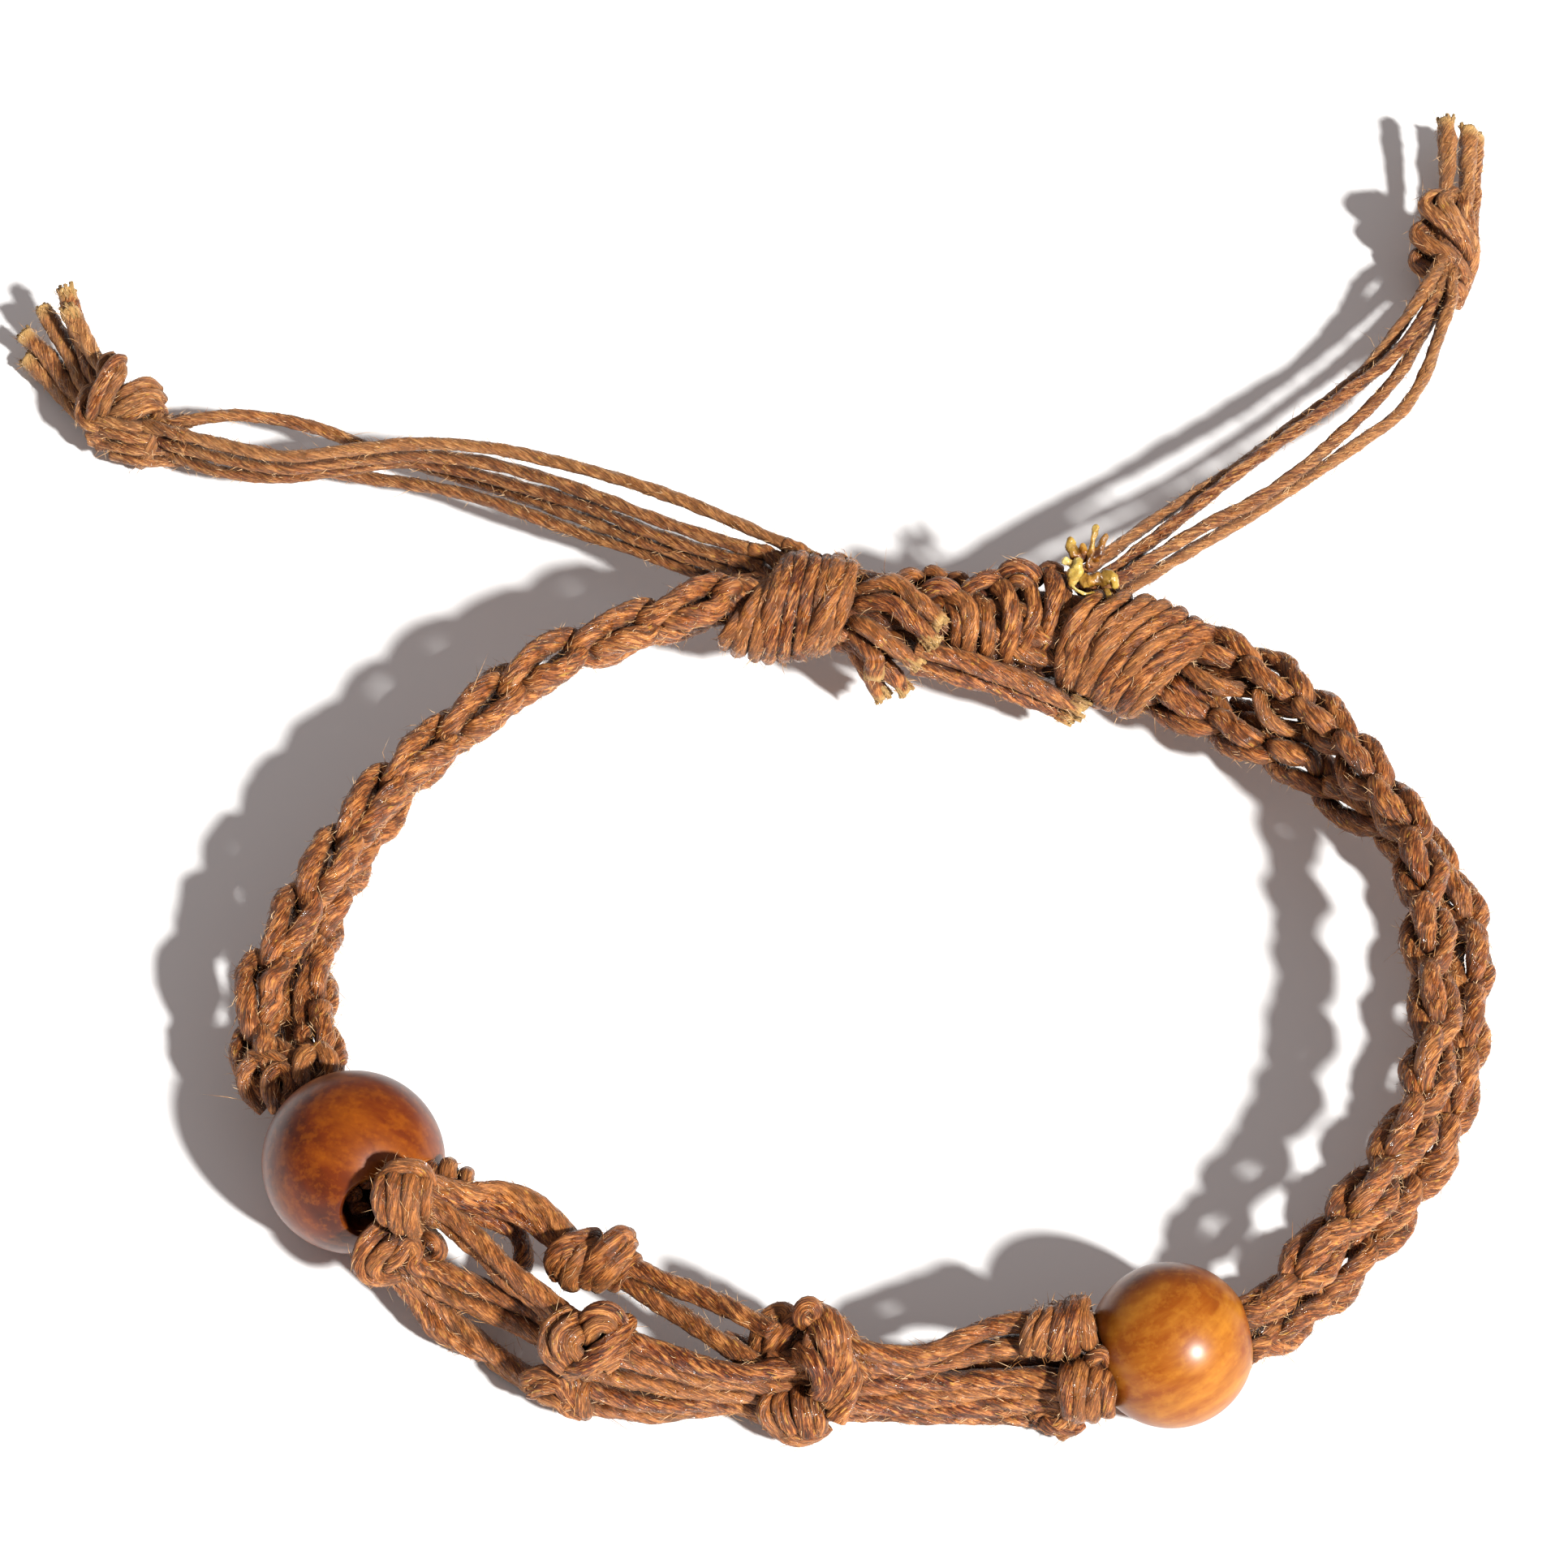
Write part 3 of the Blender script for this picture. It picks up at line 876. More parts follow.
def end_knot(side, ends):
    name = "tail_knot_" + side
    yarn = seen_yarn(name)
    for tail in TAILS:
        if side in tail:
            lead_in(yarn, smooth(TAILS[tail], TAIL_STEP), SEEN[name][0])
    for points in ends:
        lead_in(yarn, smooth(points, END_STEP)[::-1], SEEN[name][0])
    return finish_yarn(yarn, "end_knot_" + side, name, TAIL, "tail_cord")


def frayed_piece(side, ends):
    yarn = Yarn()
    for points in ends:
        line = smooth(points, END_STEP)
        yarn.add(
            line, FRAYED_D, step=END_STEP, pitch=FRAYED_PITCH, swell=FRAYED_SWELL, tips=(0, FRAYED_PALE),
        )
        tuft(yarn, line, FRAYED_D, FRAYED_FIBRES, FRAYED_FAN)
    return finish_yarn(yarn, "frayed_tips_" + side, "frayed_ends_" + side, TAIL, "tail_cord", TAIL_HAIRS)


knot_left = end_knot("left", ENDS_LEFT)
knot_right = end_knot("right", ENDS_RIGHT)
frayed_left = frayed_piece("left", ENDS_LEFT)
frayed_right = frayed_piece("right", ENDS_RIGHT)

# The tails that carry the end knots and the frayed ends
for name in TAILS:
    piece, line = tail_piece(name)

# Chains

CHAINS = {
    "chain_left_upper": [
        (-10.5, 27.7, 10), (-13, 26.5, 10), (-16, 25.5, 9.5), (-19, 24, 9.5), (-22, 22, 9),
        (-25, 19.5, 8.5), (-28, 17, 8), (-30.5, 14, 8), (-32.5, 11, 7.5), (-34.5, 7, 7.5), (-36, 4, 7),
        (-37.5, 0.5, 6.5), (-38, -2.5, 6), (-38, -5.5, 5.5), (-37, -7.5, 5), (-35.6, -8.9, 4.2),
        (-34.6, -9, 3.8),
    ],
    "chain_left_lower": [
        (-11.2, 30.4, 5.8), (-13, 30, 5.5), (-16, 29, 5), (-19.5, 27.5, 5), (-22.5, 25.5, 4.5),
        (-25, 23, 4.5), (-27.5, 20.5, 4), (-30, 17.5, 4), (-32, 14, 3.5), (-33.5, 10.5, 3.5),
        (-34.7, 6.5, 3.5), (-35, 3, 3.5), (-34.7, -1, 3.8), (-34.2, -4, 4), (-33.6, -6.5, 4),
        (-32.9, -8.6, 3.8),
    ],
    "chain_right_upper": [
        (23.6, 25.2, 7.7), (26, 23.8, 8), (28.5, 21, 8), (31, 18, 8), (33, 14, 8), (35, 10.5, 8),
        (35.5, 5.5, 8), (35.5, 0, 8), (35.5, -5, 8), (34.5, -10, 8), (33, -13.5, 7.5), (31, -17, 7.5),
        (28.5, -20, 7), (26, -23, 6.5), (24, -24.8, 5.9), (23.2, -25.2, 5.8),
    ],
    "chain_right_lower": [
        (21.4, 23, 5), (23.5, 21.6, 5), (26, 20, 5), (29, 18.5, 4.5), (31, 16.5, 4), (33.5, 14.5, 4),
        (36, 12, 4), (37.5, 9.5, 4), (38.5, 6, 4), (38.5, 2, 4.2), (38, -1.5, 4.2), (37.5, -5.5, 4.2),
        (36.5, -9, 4), (35, -12.5, 4), (32.5, -16, 3.5), (29.5, -20, 3), (26, -24, 3.2), (24.4, -25.8, 3.8),
        (23.4, -26.6, 4.2),
    ],
}
# One stitch: place along the chain in stitches, across, towards the eye, thickness
STITCH = [
    (0.4, 0, 1.3, 1.12), (0.62, 0, 1.2, 1.08), (0.8, -0.05, 0.8, 0.86), (0.9, -0.25, -0.1, 0.84),
    (1.04, -0.52, -0.9, 0.92), (1.32, -0.98, -0.5, 1.02), (1.66, -1.06, 0.1, 1.04), (1.96, -0.68, 0.4, 1),
    (2.12, 0, 0.2, 0.94), (1.96, 0.68, 0.4, 1), (1.66, 1.06, 0.1, 1.04), (1.32, 0.98, -0.5, 1.02),
    (1.04, 0.52, -0.9, 0.92), (1, 0.25, -0.3, 0.9), (1.14, 0, 1.1, 1.02),
]
STITCH_D = 1.42
STITCH_TONE = 0.35
CHAIN_HAIRS = 1.4
STITCH_LENGTH = 5.2
STITCH_TIP = 0.85
# Distances along each chain of the tips of its stitches
CHAIN_TIPS = {
    "chain_right_upper": [1.2, 6.3, 10.3, 14.6, 18.8, 24.2, 29.3, 35, 40, 45.2, 50.2, 55.2, 60, 64.4],
    "chain_right_lower": [1.6, 5.8, 10, 15, 20.1, 25.2, 30.3, 35.4, 40.5, 45.6, 50.8, 56, 61, 65.6],
    "chain_left_upper": [2.6, 7.8, 13, 18.2, 23.4, 28.6, 33.8, 39, 44.2, 49.3],
    "chain_left_lower": [1.5, 6.6, 11.7, 16.8, 21.9, 27, 32.1, 37.3, 42.5, 47.6],
}
# Each chain: how far it runs on before its first point, and its roll about its line in degrees
CHAIN_FORM = {
    "chain_left_upper": (3.0, -38),
    "chain_left_lower": (4.0, -30),
    "chain_right_upper": (2.5, 12),
    "chain_right_lower": (4.5, -10),
}
CHAIN_REACH = 1.6
CHAIN_STEP = 0.25
CHAIN_PITCH = 10
LOOP_STEP = 0.16
LOOP_RING_STEP = 0.19
# Distance over which the direction of a chain is taken, and how far stitches may run past its end
CHAIN_AHEAD = 0.3
CHAIN_PAST = 1.5
# Sway of the roll from stitch to stitch in degrees, and its rate
CHAIN_SWAY, SWAY_RATE = 6, 1.7
# Random shifts of the points of a stitch, and the part of them that goes along the chain
SHAKE, SHAKE_ALONG = 0.07, 0.35
# A chain narrows over its last millimetres to these shares of its width and of its cord
NARROWING = 5.0
END_WIDTH = 0.45
END_CORD = 0.82
# Cords seen between the chains: diameter, points
CHAIN_FILL = {
    "chain_left_lower": [
        (1.2, [(-35.2, 8, 4.6), (-36, 4, 4.4), (-36.5, 0, 4.2), (-36.2, -4, 4), (-34.8, -8.2, 3.8)]),
        (1.2, [(-34.8, 4, 4.8), (-35.5, 0, 4.6), (-35.2, -4, 4.4), (-34.2, -8, 4.2)]),
        (1.2, [(-38, -6.7, 6.2), (-38.5, -7.3, 6), (-38.6, -7.9, 5.6), (-38.2, -8.5, 5),
               (-37.3, -8.9, 4.4)]),
        (1.25, [(-36.4, -7.6, 6.6), (-36.9, -8.4, 6.6), (-36.8, -9.1, 6), (-36.4, -9.4, 5)]),
        (1.15, [(-36.4, -7.7, 6.6), (-35.7, -8.1, 6.6), (-35.5, -8.8, 6.2), (-36.1, -9.3, 5.4)]),
        (1.3, [(-34.6, -6.2, 6.6), (-34.9, -7.3, 7), (-35, -8.1, 6.8), (-35, -8.5, 6)]),
        (1.1, [(-38.3, -6.4, 6), (-37.2, -6.7, 6.6), (-36.3, -7.1, 6.6), (-35.7, -7.4, 6)]),
        (1.1, [(-36.8, -5.2, 6), (-35.9, -6.3, 6.4), (-35.5, -7.1, 6.2), (-35.2, -7.7, 5.6)]),
        (1.2, [(-34.1, -5.9, 6.4), (-33.4, -6.8, 6.6), (-33.3, -7.5, 6.2), (-33.9, -8.1, 5.6)]),
        (1.1, [(-35.1, -3.8, 5.4), (-35.2, -4.7, 5.6), (-34.7, -5.6, 5.6)]),
    ],
    "chain_right_upper": [
        (1.1, [(19.7, 25.3, 7.5), (21.1, 24, 8), (22.3, 22.7, 8.2), (23.5, 22.2, 8), (24.9, 22.4, 7.5),
               (26.4, 23, 6.7)]),
        (1.1, [(26, 21.7, 8.2), (26.1, 20.8, 7.8), (26.5, 20, 7.4), (27.4, 19.6, 7), (28.7, 19.7, 6.6)]),
    ],
    "chain_right_lower": [
        (1.45, [(19.1, 25.8, 6.4), (20.3, 24.2, 7), (21.7, 23.2, 6.8), (22.8, 23.1, 6)]),
        (1.1, [(23.1, 23.3, 6.2), (23.5, 22.7, 6), (24.1, 21.8, 5.6)]),
        (1.2, [(24.4, 23.2, 5), (25.7, 22.5, 5.2), (26.9, 21.6, 5.2), (28.1, 20.6, 5), (29.2, 19.9, 4.6)]),
    ],
}


def at_run(line, run, s):
    """The point at distance s on a line."""
    return np.array([np.interp(s, run, line[:, k]) for k in range(3)])


def chain_axes(line, run, s, roll):
    """Across and out of a chain at distance s, rolled about its line."""
    ahead = at_run(line, run, s + CHAIN_AHEAD) - at_run(line, run, s - CHAIN_AHEAD)
    ahead = unit(ahead) if np.linalg.norm(ahead) > 0 else unit(line[-1] - line[-4])
    up = unit(TO_CAMERA - ahead * np.dot(TO_CAMERA, ahead))
    side = np.cross(ahead, up)
    return side * math.cos(roll) - up * math.sin(roll), up * math.cos(roll) + side * math.sin(roll)


def stitched(name):
    """The looped cord of one chain: its points and its thickness at each."""
    lead, roll = CHAIN_FORM[name]
    line = even(longer(smooth(CHAINS[name], CHAIN_STEP), lead, CHAIN_REACH), CHAIN_STEP)
    run = run_of(line) - lead
    length = run[-1] - CHAIN_REACH
    tips = CHAIN_TIPS[name]
    places = [k + STITCH_TIP for k in (-2, *range(len(tips)), len(tips) + 1)]
    at = [tips[0] - 2 * STITCH_LENGTH, *tips, tips[-1] + 2 * STITCH_LENGTH]
    points, sizes = [], []
    for k in range(-2, len(tips) + 1):
        shakes = rng.normal(0, SHAKE, (len(STITCH), 3))
        rolled = math.radians(roll + CHAIN_SWAY * math.sin(k * SWAY_RATE))
        for (place, side, lift, size), shake in zip(STITCH, shakes):
            s = np.interp(k + place + shake[0] * SHAKE_ALONG, places, at)
            if not -lead < s < length + CHAIN_PAST:
                continue
            close = min(1, max(0.0, (length - s) / NARROWING))
            width = END_WIDTH + (1 - END_WIDTH) * close * close * (3 - 2 * close)
            across, out = chain_axes(line, run, s, rolled)
            off = (side + shake[1]) * across + (lift + shake[2]) * out
            points.append(at_run(line, run, s) + width * off)
            sizes.append(size * (END_CORD + (1 - END_CORD) * close))
    return points, sizes


def chain_piece(name):
    """The looped cord of one chain, and the cords that are seen beside it."""
    yarn = Yarn()
    points, sizes = stitched(name)
    line = smooth(points, LOOP_STEP)
    nearest = np.array([np.argmin(np.linalg.norm(line - p, axis=1)) for p in points])
    swell = np.interp(np.arange(len(line)), np.maximum.accumulate(nearest), sizes)
    yarn.add(line, STITCH_D, step=LOOP_RING_STEP, pitch=CHAIN_PITCH, tone=STITCH_TONE, swell=swell)
    for d, points in CHAIN_FILL.get(name, []):
        yarn.add(smooth(points), d, pitch=CHAIN_PITCH)
    return finish_yarn(yarn, name + "_stitches", name, hairs=CHAIN_HAIRS)


for name in CHAINS:
    chain_piece(name)

# Closure

# Start and end of the core of each wrap, and the place inside it where the tails end
WRAPS = {"wrap_left": ([-8, 29, 8], [-0.4, 29, 7.6]), "wrap_right": ([13.6, 26.9, 7.5], [19.9, 25.1, 7.3])}
TAIL_ROOTS = {"wrap_left": (-3.6, 30.4, 7.6), "wrap_right": (16.2, 28.0, 7.6)}


# Straight cords in a core: count, distance from the axis, diameter
WRAP_CORE = (6, 1.3, 2.3)
SLEEVE_OUTER = (10, 2.0, 1.8)
SLEEVE_INNER = (4, 0.8, 1.7)
# How far a wrap's core and the sleeve's outer cords reach past the ends of their axes
WRAP_REACH = 0.5
SLEEVE_REACH = 0.9
CORE_TURN = 0.3
CORE_STEP = 0.4
CORE_PITCH = 9


def inner_cords(yarn, start, stop, count, r, d):
    """Straight cords side by side round an axis."""
    start, stop = np.asarray(start, float), np.asarray(stop, float)
    a, b, _ = basis(stop - start)
    for k in range(count):
        off = r * toward(FULL_TURN * k / count + CORE_TURN, a, b)
        line = np.array([start + off, (start + stop) / 2 + off, stop + off])
        yarn.add(line, d, step=CORE_STEP, pitch=CORE_PITCH)


def wrap_piece(name):
    yarn = seen_yarn(name)
    start, stop = (np.array(p, float) for p in WRAPS[name])
    reach = unit(stop - start) * WRAP_REACH
    inner_cords(yarn, start - reach, stop + reach, *WRAP_CORE)
    for tail in TAILS:
        if name.split("_")[1] in tail:
            lead_in(yarn, smooth(TAILS[tail], TAIL_STEP)[::-1], TAIL_ROOTS[name])
    return finish_yarn(yarn, name + "_turns", name)


def sleeve_piece():
    """The knotted cords between the wraps, on two layers of straight ones."""
    yarn = seen_yarn("knotted_sleeve")
    start, stop = np.array(WRAPS["wrap_left"][1], float), np.array(WRAPS["wrap_right"][0], float)
    reach = unit(stop - start) * SLEEVE_REACH
    inner_cords(yarn, start - reach, stop + reach, *SLEEVE_OUTER)
    inner_cords(yarn, start, stop, *SLEEVE_INNER)
    return finish_yarn(yarn, "sleeve_knots", "knotted_sleeve")


wrap_piece("wrap_left")
wrap_piece("wrap_right")
sleeve_piece()

CUT_LEFT = [
    [(2, 28.3, 11.3), (3.6, 27.1, 11.1), (5.3, 25.7, 10.4)],
    [(1.8, 27, 10.8), (3.4, 25.9, 10.3), (4.9, 24.7, 9.4)],
    [(0.6, 25.9, 9.5), (2.3, 24.9, 8.7), (3.9, 24.4, 7.8)],
    [(0.8, 25, 8), (0.9, 24.6, 7.2), (0.9, 24.4, 6.4)],
    [(1.8, 25.4, 6), (2.6, 25.2, 4.9), (3, 25.1, 4.2)],
    [(0.7, 25.8, 5), (1.1, 25.5, 4.2), (1.6, 25.2, 3.5)],
]
CUT_FRONT = [
    [(5.5, 24.6, 8.4), (8, 24, 7.9), (10.9, 23.5, 6.8), (14.5, 22.9, 5)],
    [(5.3, 24.5, 6.9), (7.8, 24.1, 6.4), (10.6, 23.7, 5.4), (14, 23.2, 3.8)],
]
# The core of the left wrap at its right end, which the cut ends of the left group come from
CORE_X, CORE_Y, CORE_Z = -0.6, 28.8, 8.2
CUT_STEP = 0.17
CUT_SWELL = (1.0, 1.05, 1.05, 1.05, 0.8)


def rooted(points):
    """A stub with its start led into the wrap that holds it."""
    _, y, z = points[0]
    return [(CORE_X, 0.5 * (y + CORE_Y), 0.5 * (z + CORE_Z))] + points


def cut_piece(side, ends, d, pale, reach, fibres, fan, bleach):
    """Cut cords with pale tips. reach is the length added at their roots."""
    yarn = Yarn()
    for points in ends:
        line = longer(smooth(points, END_STEP), reach)
        yarn.add(line, d, step=CUT_STEP, pitch=SEEN_PITCH, swell=CUT_SWELL, tips=(0, pale))
        tuft(yarn, line, d, fibres, fan, bleach)
    return finish_yarn(yarn, "cut_tips_" + side, "cut_ends_" + side)


cut_piece(
    "left", [rooted(points) for points in CUT_LEFT],
    d=1.25, pale=0.5, reach=0.0, fibres=12, fan=0.3, bleach=9,
)
cut_piece("front", CUT_FRONT, d=1.35, pale=0.6, reach=1.9, fibres=16, fan=0.5, bleach=1.6)

# Melted ends: across, up, towards the eye, diameter, share of yellow
MELT_AT = (15, 29.6, 10.8)
MELTED = [
    [(-0.6, 1, 1, 0.59, 1), (-0.8, 0.4, 1.1, 1.17, 1), (-1, -0.2, 1.1, 0.8, 0.6),
     (-1.2, -1, 0.8, 0.37, 0.3)],
    [(-1.8, 0.9, 1.1, 0.69, 1), (-1.4, 0.7, 1, 0.43, 0.5), (-0.9, 0.4, 1, 0.64, 0.8)],
    [(-0.7, -0.4, 0.7, 0.75, 0.4), (0.1, -0.5, 0.8, 1.17, 0.1), (0.8, -0.4, 0.9, 1.01, 0.2),
     (1.5, -0.3, 1, 0.96, 0.9), (1.7, -1.1, 0.9, 0.48, 1)],
    [(1, -1, 0.9, 0.37, 0.3), (1.3, -1.5, 1, 0.43, 0.6), (1.3, -2, 1, 0.8, 1)],
    [(-0.6, 0.5, 0.4, 0.59, 0), (-1, 1.3, 0.5, 0.96, 0), (-1.2, 1.9, 0.6, 0.8, 0.6),
     (-1.2, 2.4, 0.6, 0.37, 0.9)],
    [(-0.1, 0.2, 0.3, 0.48, 0), (0.1, 1.2, 0.5, 0.48, 0.1), (0.3, 2.3, 0.7, 0.37, 0.3),
     (0.5, 3.2, 0.8, 0.48, 0.9)],
    [(0.2, 0.7, 0.2, 0.64, 0), (0.7, 1.6, 0.3, 0.91, 0), (1, 2.2, 0.4, 0.64, 0.1),
     (1.2, 2.6, 0.4, 0.27, 0.2)],
    [(-0.5, 0.6, 0.1, 0.75, 0), (-0.4, 1.4, 0.2, 0.91, 0), (-0.4, 2, 0.2, 0.43, 0.1)],
    [(-1.4, -0.3, 0.9, 0.21, 0.8), (-1, -1, 1.1, 0.21, 0.8), (-0.3, -1.4, 1.1, 0.21, 0.8),
     (0.4, -1.3, 1, 0.27, 0.6)],
]
DRIP_SIDES = 14
DRIP_STEP = 0.08
DRIP_END_R = 0.004
DRIP_TURN = 1.3
# The form of a drop in shares of its radius: mean, and waves with their height, lobes and rate
DRIP_MEAN = 0.88
DRIP_WAVES = ((0.16, 2, 4), (0.12, 3, -7))
DRIP_SHAKE = 0.05


def drip(points, phase):
    """A molten end: a swept uneven body through points with diameters."""
    rows = np.asarray(points, float)
    line = smooth(seen(MELT_AT, rows[:, :3]), DRIP_STEP)
    run = run_of(line)
    d = spread(rows[:, 3], np.linspace(0, 1, len(line)))
    cap = np.clip(np.minimum(run, run[-1] - run) / (d / 2), 0, 1)
    r = d / 2 * np.sqrt(1 - (1 - cap) ** 2) + DRIP_END_R
    _, side, above = carried(line)
    angle = np.linspace(0, FULL_TURN, DRIP_SIDES, endpoint=False)[None, :]
    along = run[:, None]
    bulge = DRIP_MEAN
    for k, (height, lobes, rate) in enumerate(DRIP_WAVES):
        bulge = bulge + height * np.sin(lobes * angle + along * rate + (k + 1) * phase)
    bulge = bulge + rng.normal(0, DRIP_SHAKE, bulge.shape)
    rings = line[:, None, :] + (r[:, None] * bulge)[..., None] * turned(angle, side[:, None], above[:, None])
    faces = tube_faces(len(line), DRIP_SIDES).tolist()
    faces.append(list(range(DRIP_SIDES))[::-1])
    faces.append([(len(line) - 1) * DRIP_SIDES + k for k in range(DRIP_SIDES)])
    return rings.reshape(-1, 3), faces


def melted_piece():
    verts, faces, tone = [], [], []
    for k, points in enumerate(MELTED):
        more, quads = drip(points, DRIP_TURN * k)
        yellow = spread([p[4] for p in points], np.linspace(0, 1, len(more) // DRIP_SIDES))
        tone.extend(np.repeat(yellow, DRIP_SIDES))
        faces.extend([[i + len(verts) for i in q] for q in quads])
        verts.extend(more)
    obj = mesh_object("melted_drops", np.array(verts), faces, AMBER)
    obj.data.attributes.new("tone", "FLOAT", "POINT").data.foreach_set("value", tone)
    dress(obj, "melted_tip", "melted_ends")


melted_piece()

# Net

NET_D = 1.3
NET_REACH = 0.75
NET_STEP = 0.18
NET_PITCH = 11
NET_LEFT = [
    [(-27.3, -17.9, 9.2), (-25.8, -17.9, 8.6), (-24, -18, 8), (-22.4, -17.5, 7.6), (-20.9, -17.8, 7.4),
     (-19.5, -18.7, 7.2), (-18.4, -19.9, 6.9), (-17.7, -20.7, 6.6)],
    [(-26.5, -18.1, 8.6), (-24.5, -18.3, 7.9), (-22.6, -18, 7.3), (-21.1, -18.3, 7), (-19.7, -19.2, 6.7),
     (-18.5, -20.3, 6.4)],
    [(-27.2, -18.8, 8.8), (-25.5, -18.7, 8), (-23.6, -18.3, 7.3), (-21.9, -18.5, 6.9), (-20.4, -19.1, 6.5),
     (-19.1, -20, 6.2), (-18.1, -21, 5.9)],
    [(-25.1, -17.8, 6.2), (-23.2, -17.8, 5.2), (-21.8, -18, 4.4), (-21.1, -18.5, 3.6), (-21, -19.6, 3),
     (-21.5, -21, 2.9), (-21.9, -22.3, 2.8)],
    [(-27, -19.2, 8.6), (-25.6, -19.5, 8.2), (-23.7, -21, 7.8), (-21.5, -23.3, 7.4), (-20, -24.4, 7),
     (-18.5, -25.6, 6.7), (-17.8, -26, 6.4)],
    [(-27.1, -19.3, 7.9), (-25.7, -19.5, 7.3), (-23.8, -21, 6.9), (-21.7, -23.2, 6.4), (-20.1, -24.4, 6.1),
     (-18.5, -25.7, 5.8)],
    [(-28.1, -21.2, 5.6), (-26.5, -21.6, 5.3), (-24.8, -22.2, 5.1), (-23, -23, 4.9), (-21.3, -23.7, 4.7),
     (-19.6, -24.7, 4.7), (-18.3, -25.9, 4.8)],
    [(-28, -21.4, 4.8), (-26.5, -22.1, 4.3), (-24.9, -22.9, 4), (-23.1, -23.8, 3.9), (-21.3, -24.7, 4),
     (-19.8, -25.7, 4.1), (-18.5, -26.7, 4.3)],
    [(-28.5, -21.3, 3.8), (-27.6, -22.1, 2.9), (-26.6, -23.3, 2.2), (-25.7, -24.2, 1.8),
     (-24.5, -24.7, 1.5), (-23.2, -25, 1.3)],
    [(-27.8, -21.7, 3.8), (-26.7, -22.3, 3), (-25.6, -23, 2.4), (-24.6, -23.8, 2), (-23.6, -24.6, 1.8),
     (-22.6, -25.4, 1.6), (-21.5, -26.3, 1.5), (-20.5, -27.1, 1.6), (-19.6, -27.7, 1.8)],
    [(-25.9, -22.1, 1.6), (-24.6, -23.4, 1.1), (-23.1, -24.8, 0.9), (-21.9, -25.9, 0.9), (-20.6, -27, 1)],
]
NET_MIDDLE = [
    [(-14.8, -22, 6.4), (-13.2, -22.8, 6.4), (-11.7, -23.7, 6.5), (-10.2, -24.4, 6.6), (-8.7, -25.3, 6.8),
     (-7.5, -26.2, 7), (-6.3, -27, 7.2)],
    [(-14.8, -22.5, 5.6), (-13.2, -23.8, 5.5), (-11.7, -24.9, 5.5), (-10.2, -26, 5.5), (-8.7, -27.2, 5.5),
     (-7.5, -28, 5.4), (-6.4, -28.7, 5.2)],
    [(-14.9, -27.3, 6.6), (-13.1, -28.1, 6.4), (-11.1, -28.8, 6.2), (-9.2, -29.4, 6), (-7.2, -29.7, 6),
     (-5.7, -29.4, 6), (-4.3, -29.1, 5.9), (-3.2, -28.8, 5.7)],
    [(-15.2, -28.2, 5.8), (-13.1, -28.6, 5.4), (-11.1, -29, 5), (-9.2, -29.3, 4.8), (-7.2, -29.3, 4.5),
     (-5.6, -29.3, 4.2), (-4.1, -29.1, 4.3), (-2.9, -28.8, 4.2)],
    [(-15.9, -28.6, 4.4), (-13.8, -28.9, 4), (-11.6, -29.2, 3.8), (-9.2, -29.3, 3.5), (-7.2, -29.4, 3.3),
     (-5.7, -29.5, 3)],
    [(-16.5, -28.9, 3), (-14.6, -29.3, 2.6), (-12.1, -29.5, 2.4), (-9.7, -29.3, 2.3), (-7.5, -29.4, 2.3),
     (-5.9, -29.9, 2.3)],
    [(-17.4, -28.7, 1.5), (-15.1, -29.1, 1.1), (-12.7, -29.3, 1.1), (-10.2, -29, 1.2), (-8, -28.9, 1.3),
     (-6.3, -29.5, 1.3)],
    [(-8, -26.6, 4.6), (-6.3, -27.2, 4.4), (-4.6, -27.3, 4.2), (-2.8, -27.7, 4.4)],
    [(-15.8, -26.4, 3.8), (-13.1, -27.7, 3.2), (-9.7, -28.3, 2.8), (-6, -28.7, 2.6)],
]
NET_RIGHT = [
    [(-1.4, -28.3, 7.2), (0.5, -28.8, 6.9), (2.5, -29, 6.8), (4.2, -28.7, 6.9), (5.9, -27.8, 7.1),
     (7.6, -27.2, 7.3), (9.5, -27, 7.6)],
    [(-1.4, -28.6, 6.2), (0.5, -28.8, 5.7), (2.5, -28.9, 5.5), (4.4, -28.7, 5.8), (6.4, -28.3, 6.1),
     (8.3, -28, 6.4), (9.6, -27.9, 6.5)],
    [(-3.1, -28.6, 4.6), (-0.4, -28.8, 4.5), (2, -29.2, 4.6), (4.5, -29.2, 4.4), (6.9, -29.2, 4.6),
     (9.3, -29.2, 4.9), (11.8, -29.5, 5.1)],
    [(-2.9, -28.8, 3.6), (0.1, -29.2, 3.9), (3, -29, 3.6), (5.9, -29.5, 3.9), (8.9, -29.4, 3.9),
     (11.8, -29.9, 4.3)],
    [(-2.7, -29, 2.9), (-0.4, -29, 2.8), (2.5, -29.6, 3.2), (5.5, -29.3, 2.8), (8.4, -29.8, 3.2),
     (11.9, -29.9, 3.4)],
    [(-2.6, -29.3, 2.2), (0.1, -29.6, 2.4), (3, -29.3, 2), (6, -29.8, 2.3), (8.9, -29.4, 2),
     (11.3, -29.9, 2.3)],
    [(-2.6, -29.5, 1.4), (0.1, -29.2, 1.1), (3, -29.6, 1.4), (6, -29.3, 1), (8.9, -29.6, 1.2),
     (10.8, -29.7, 1.2)],
    [(-0.4, -27.6, 3.6), (3, -27.7, 3.4), (6.5, -27.6, 3.4), (9.5, -27.5, 3.6), (12.3, -27.5, 3.8)],
    [(-1.9, -28.5, 4.9), (0.1, -28.7, 4.9), (2, -28.6, 4.4), (4.2, -28.2, 3.8)],
    [(-1.6, -28.9, 7.4), (-0.9, -30, 5.6), (-1.6, -31, 4.2)],
]


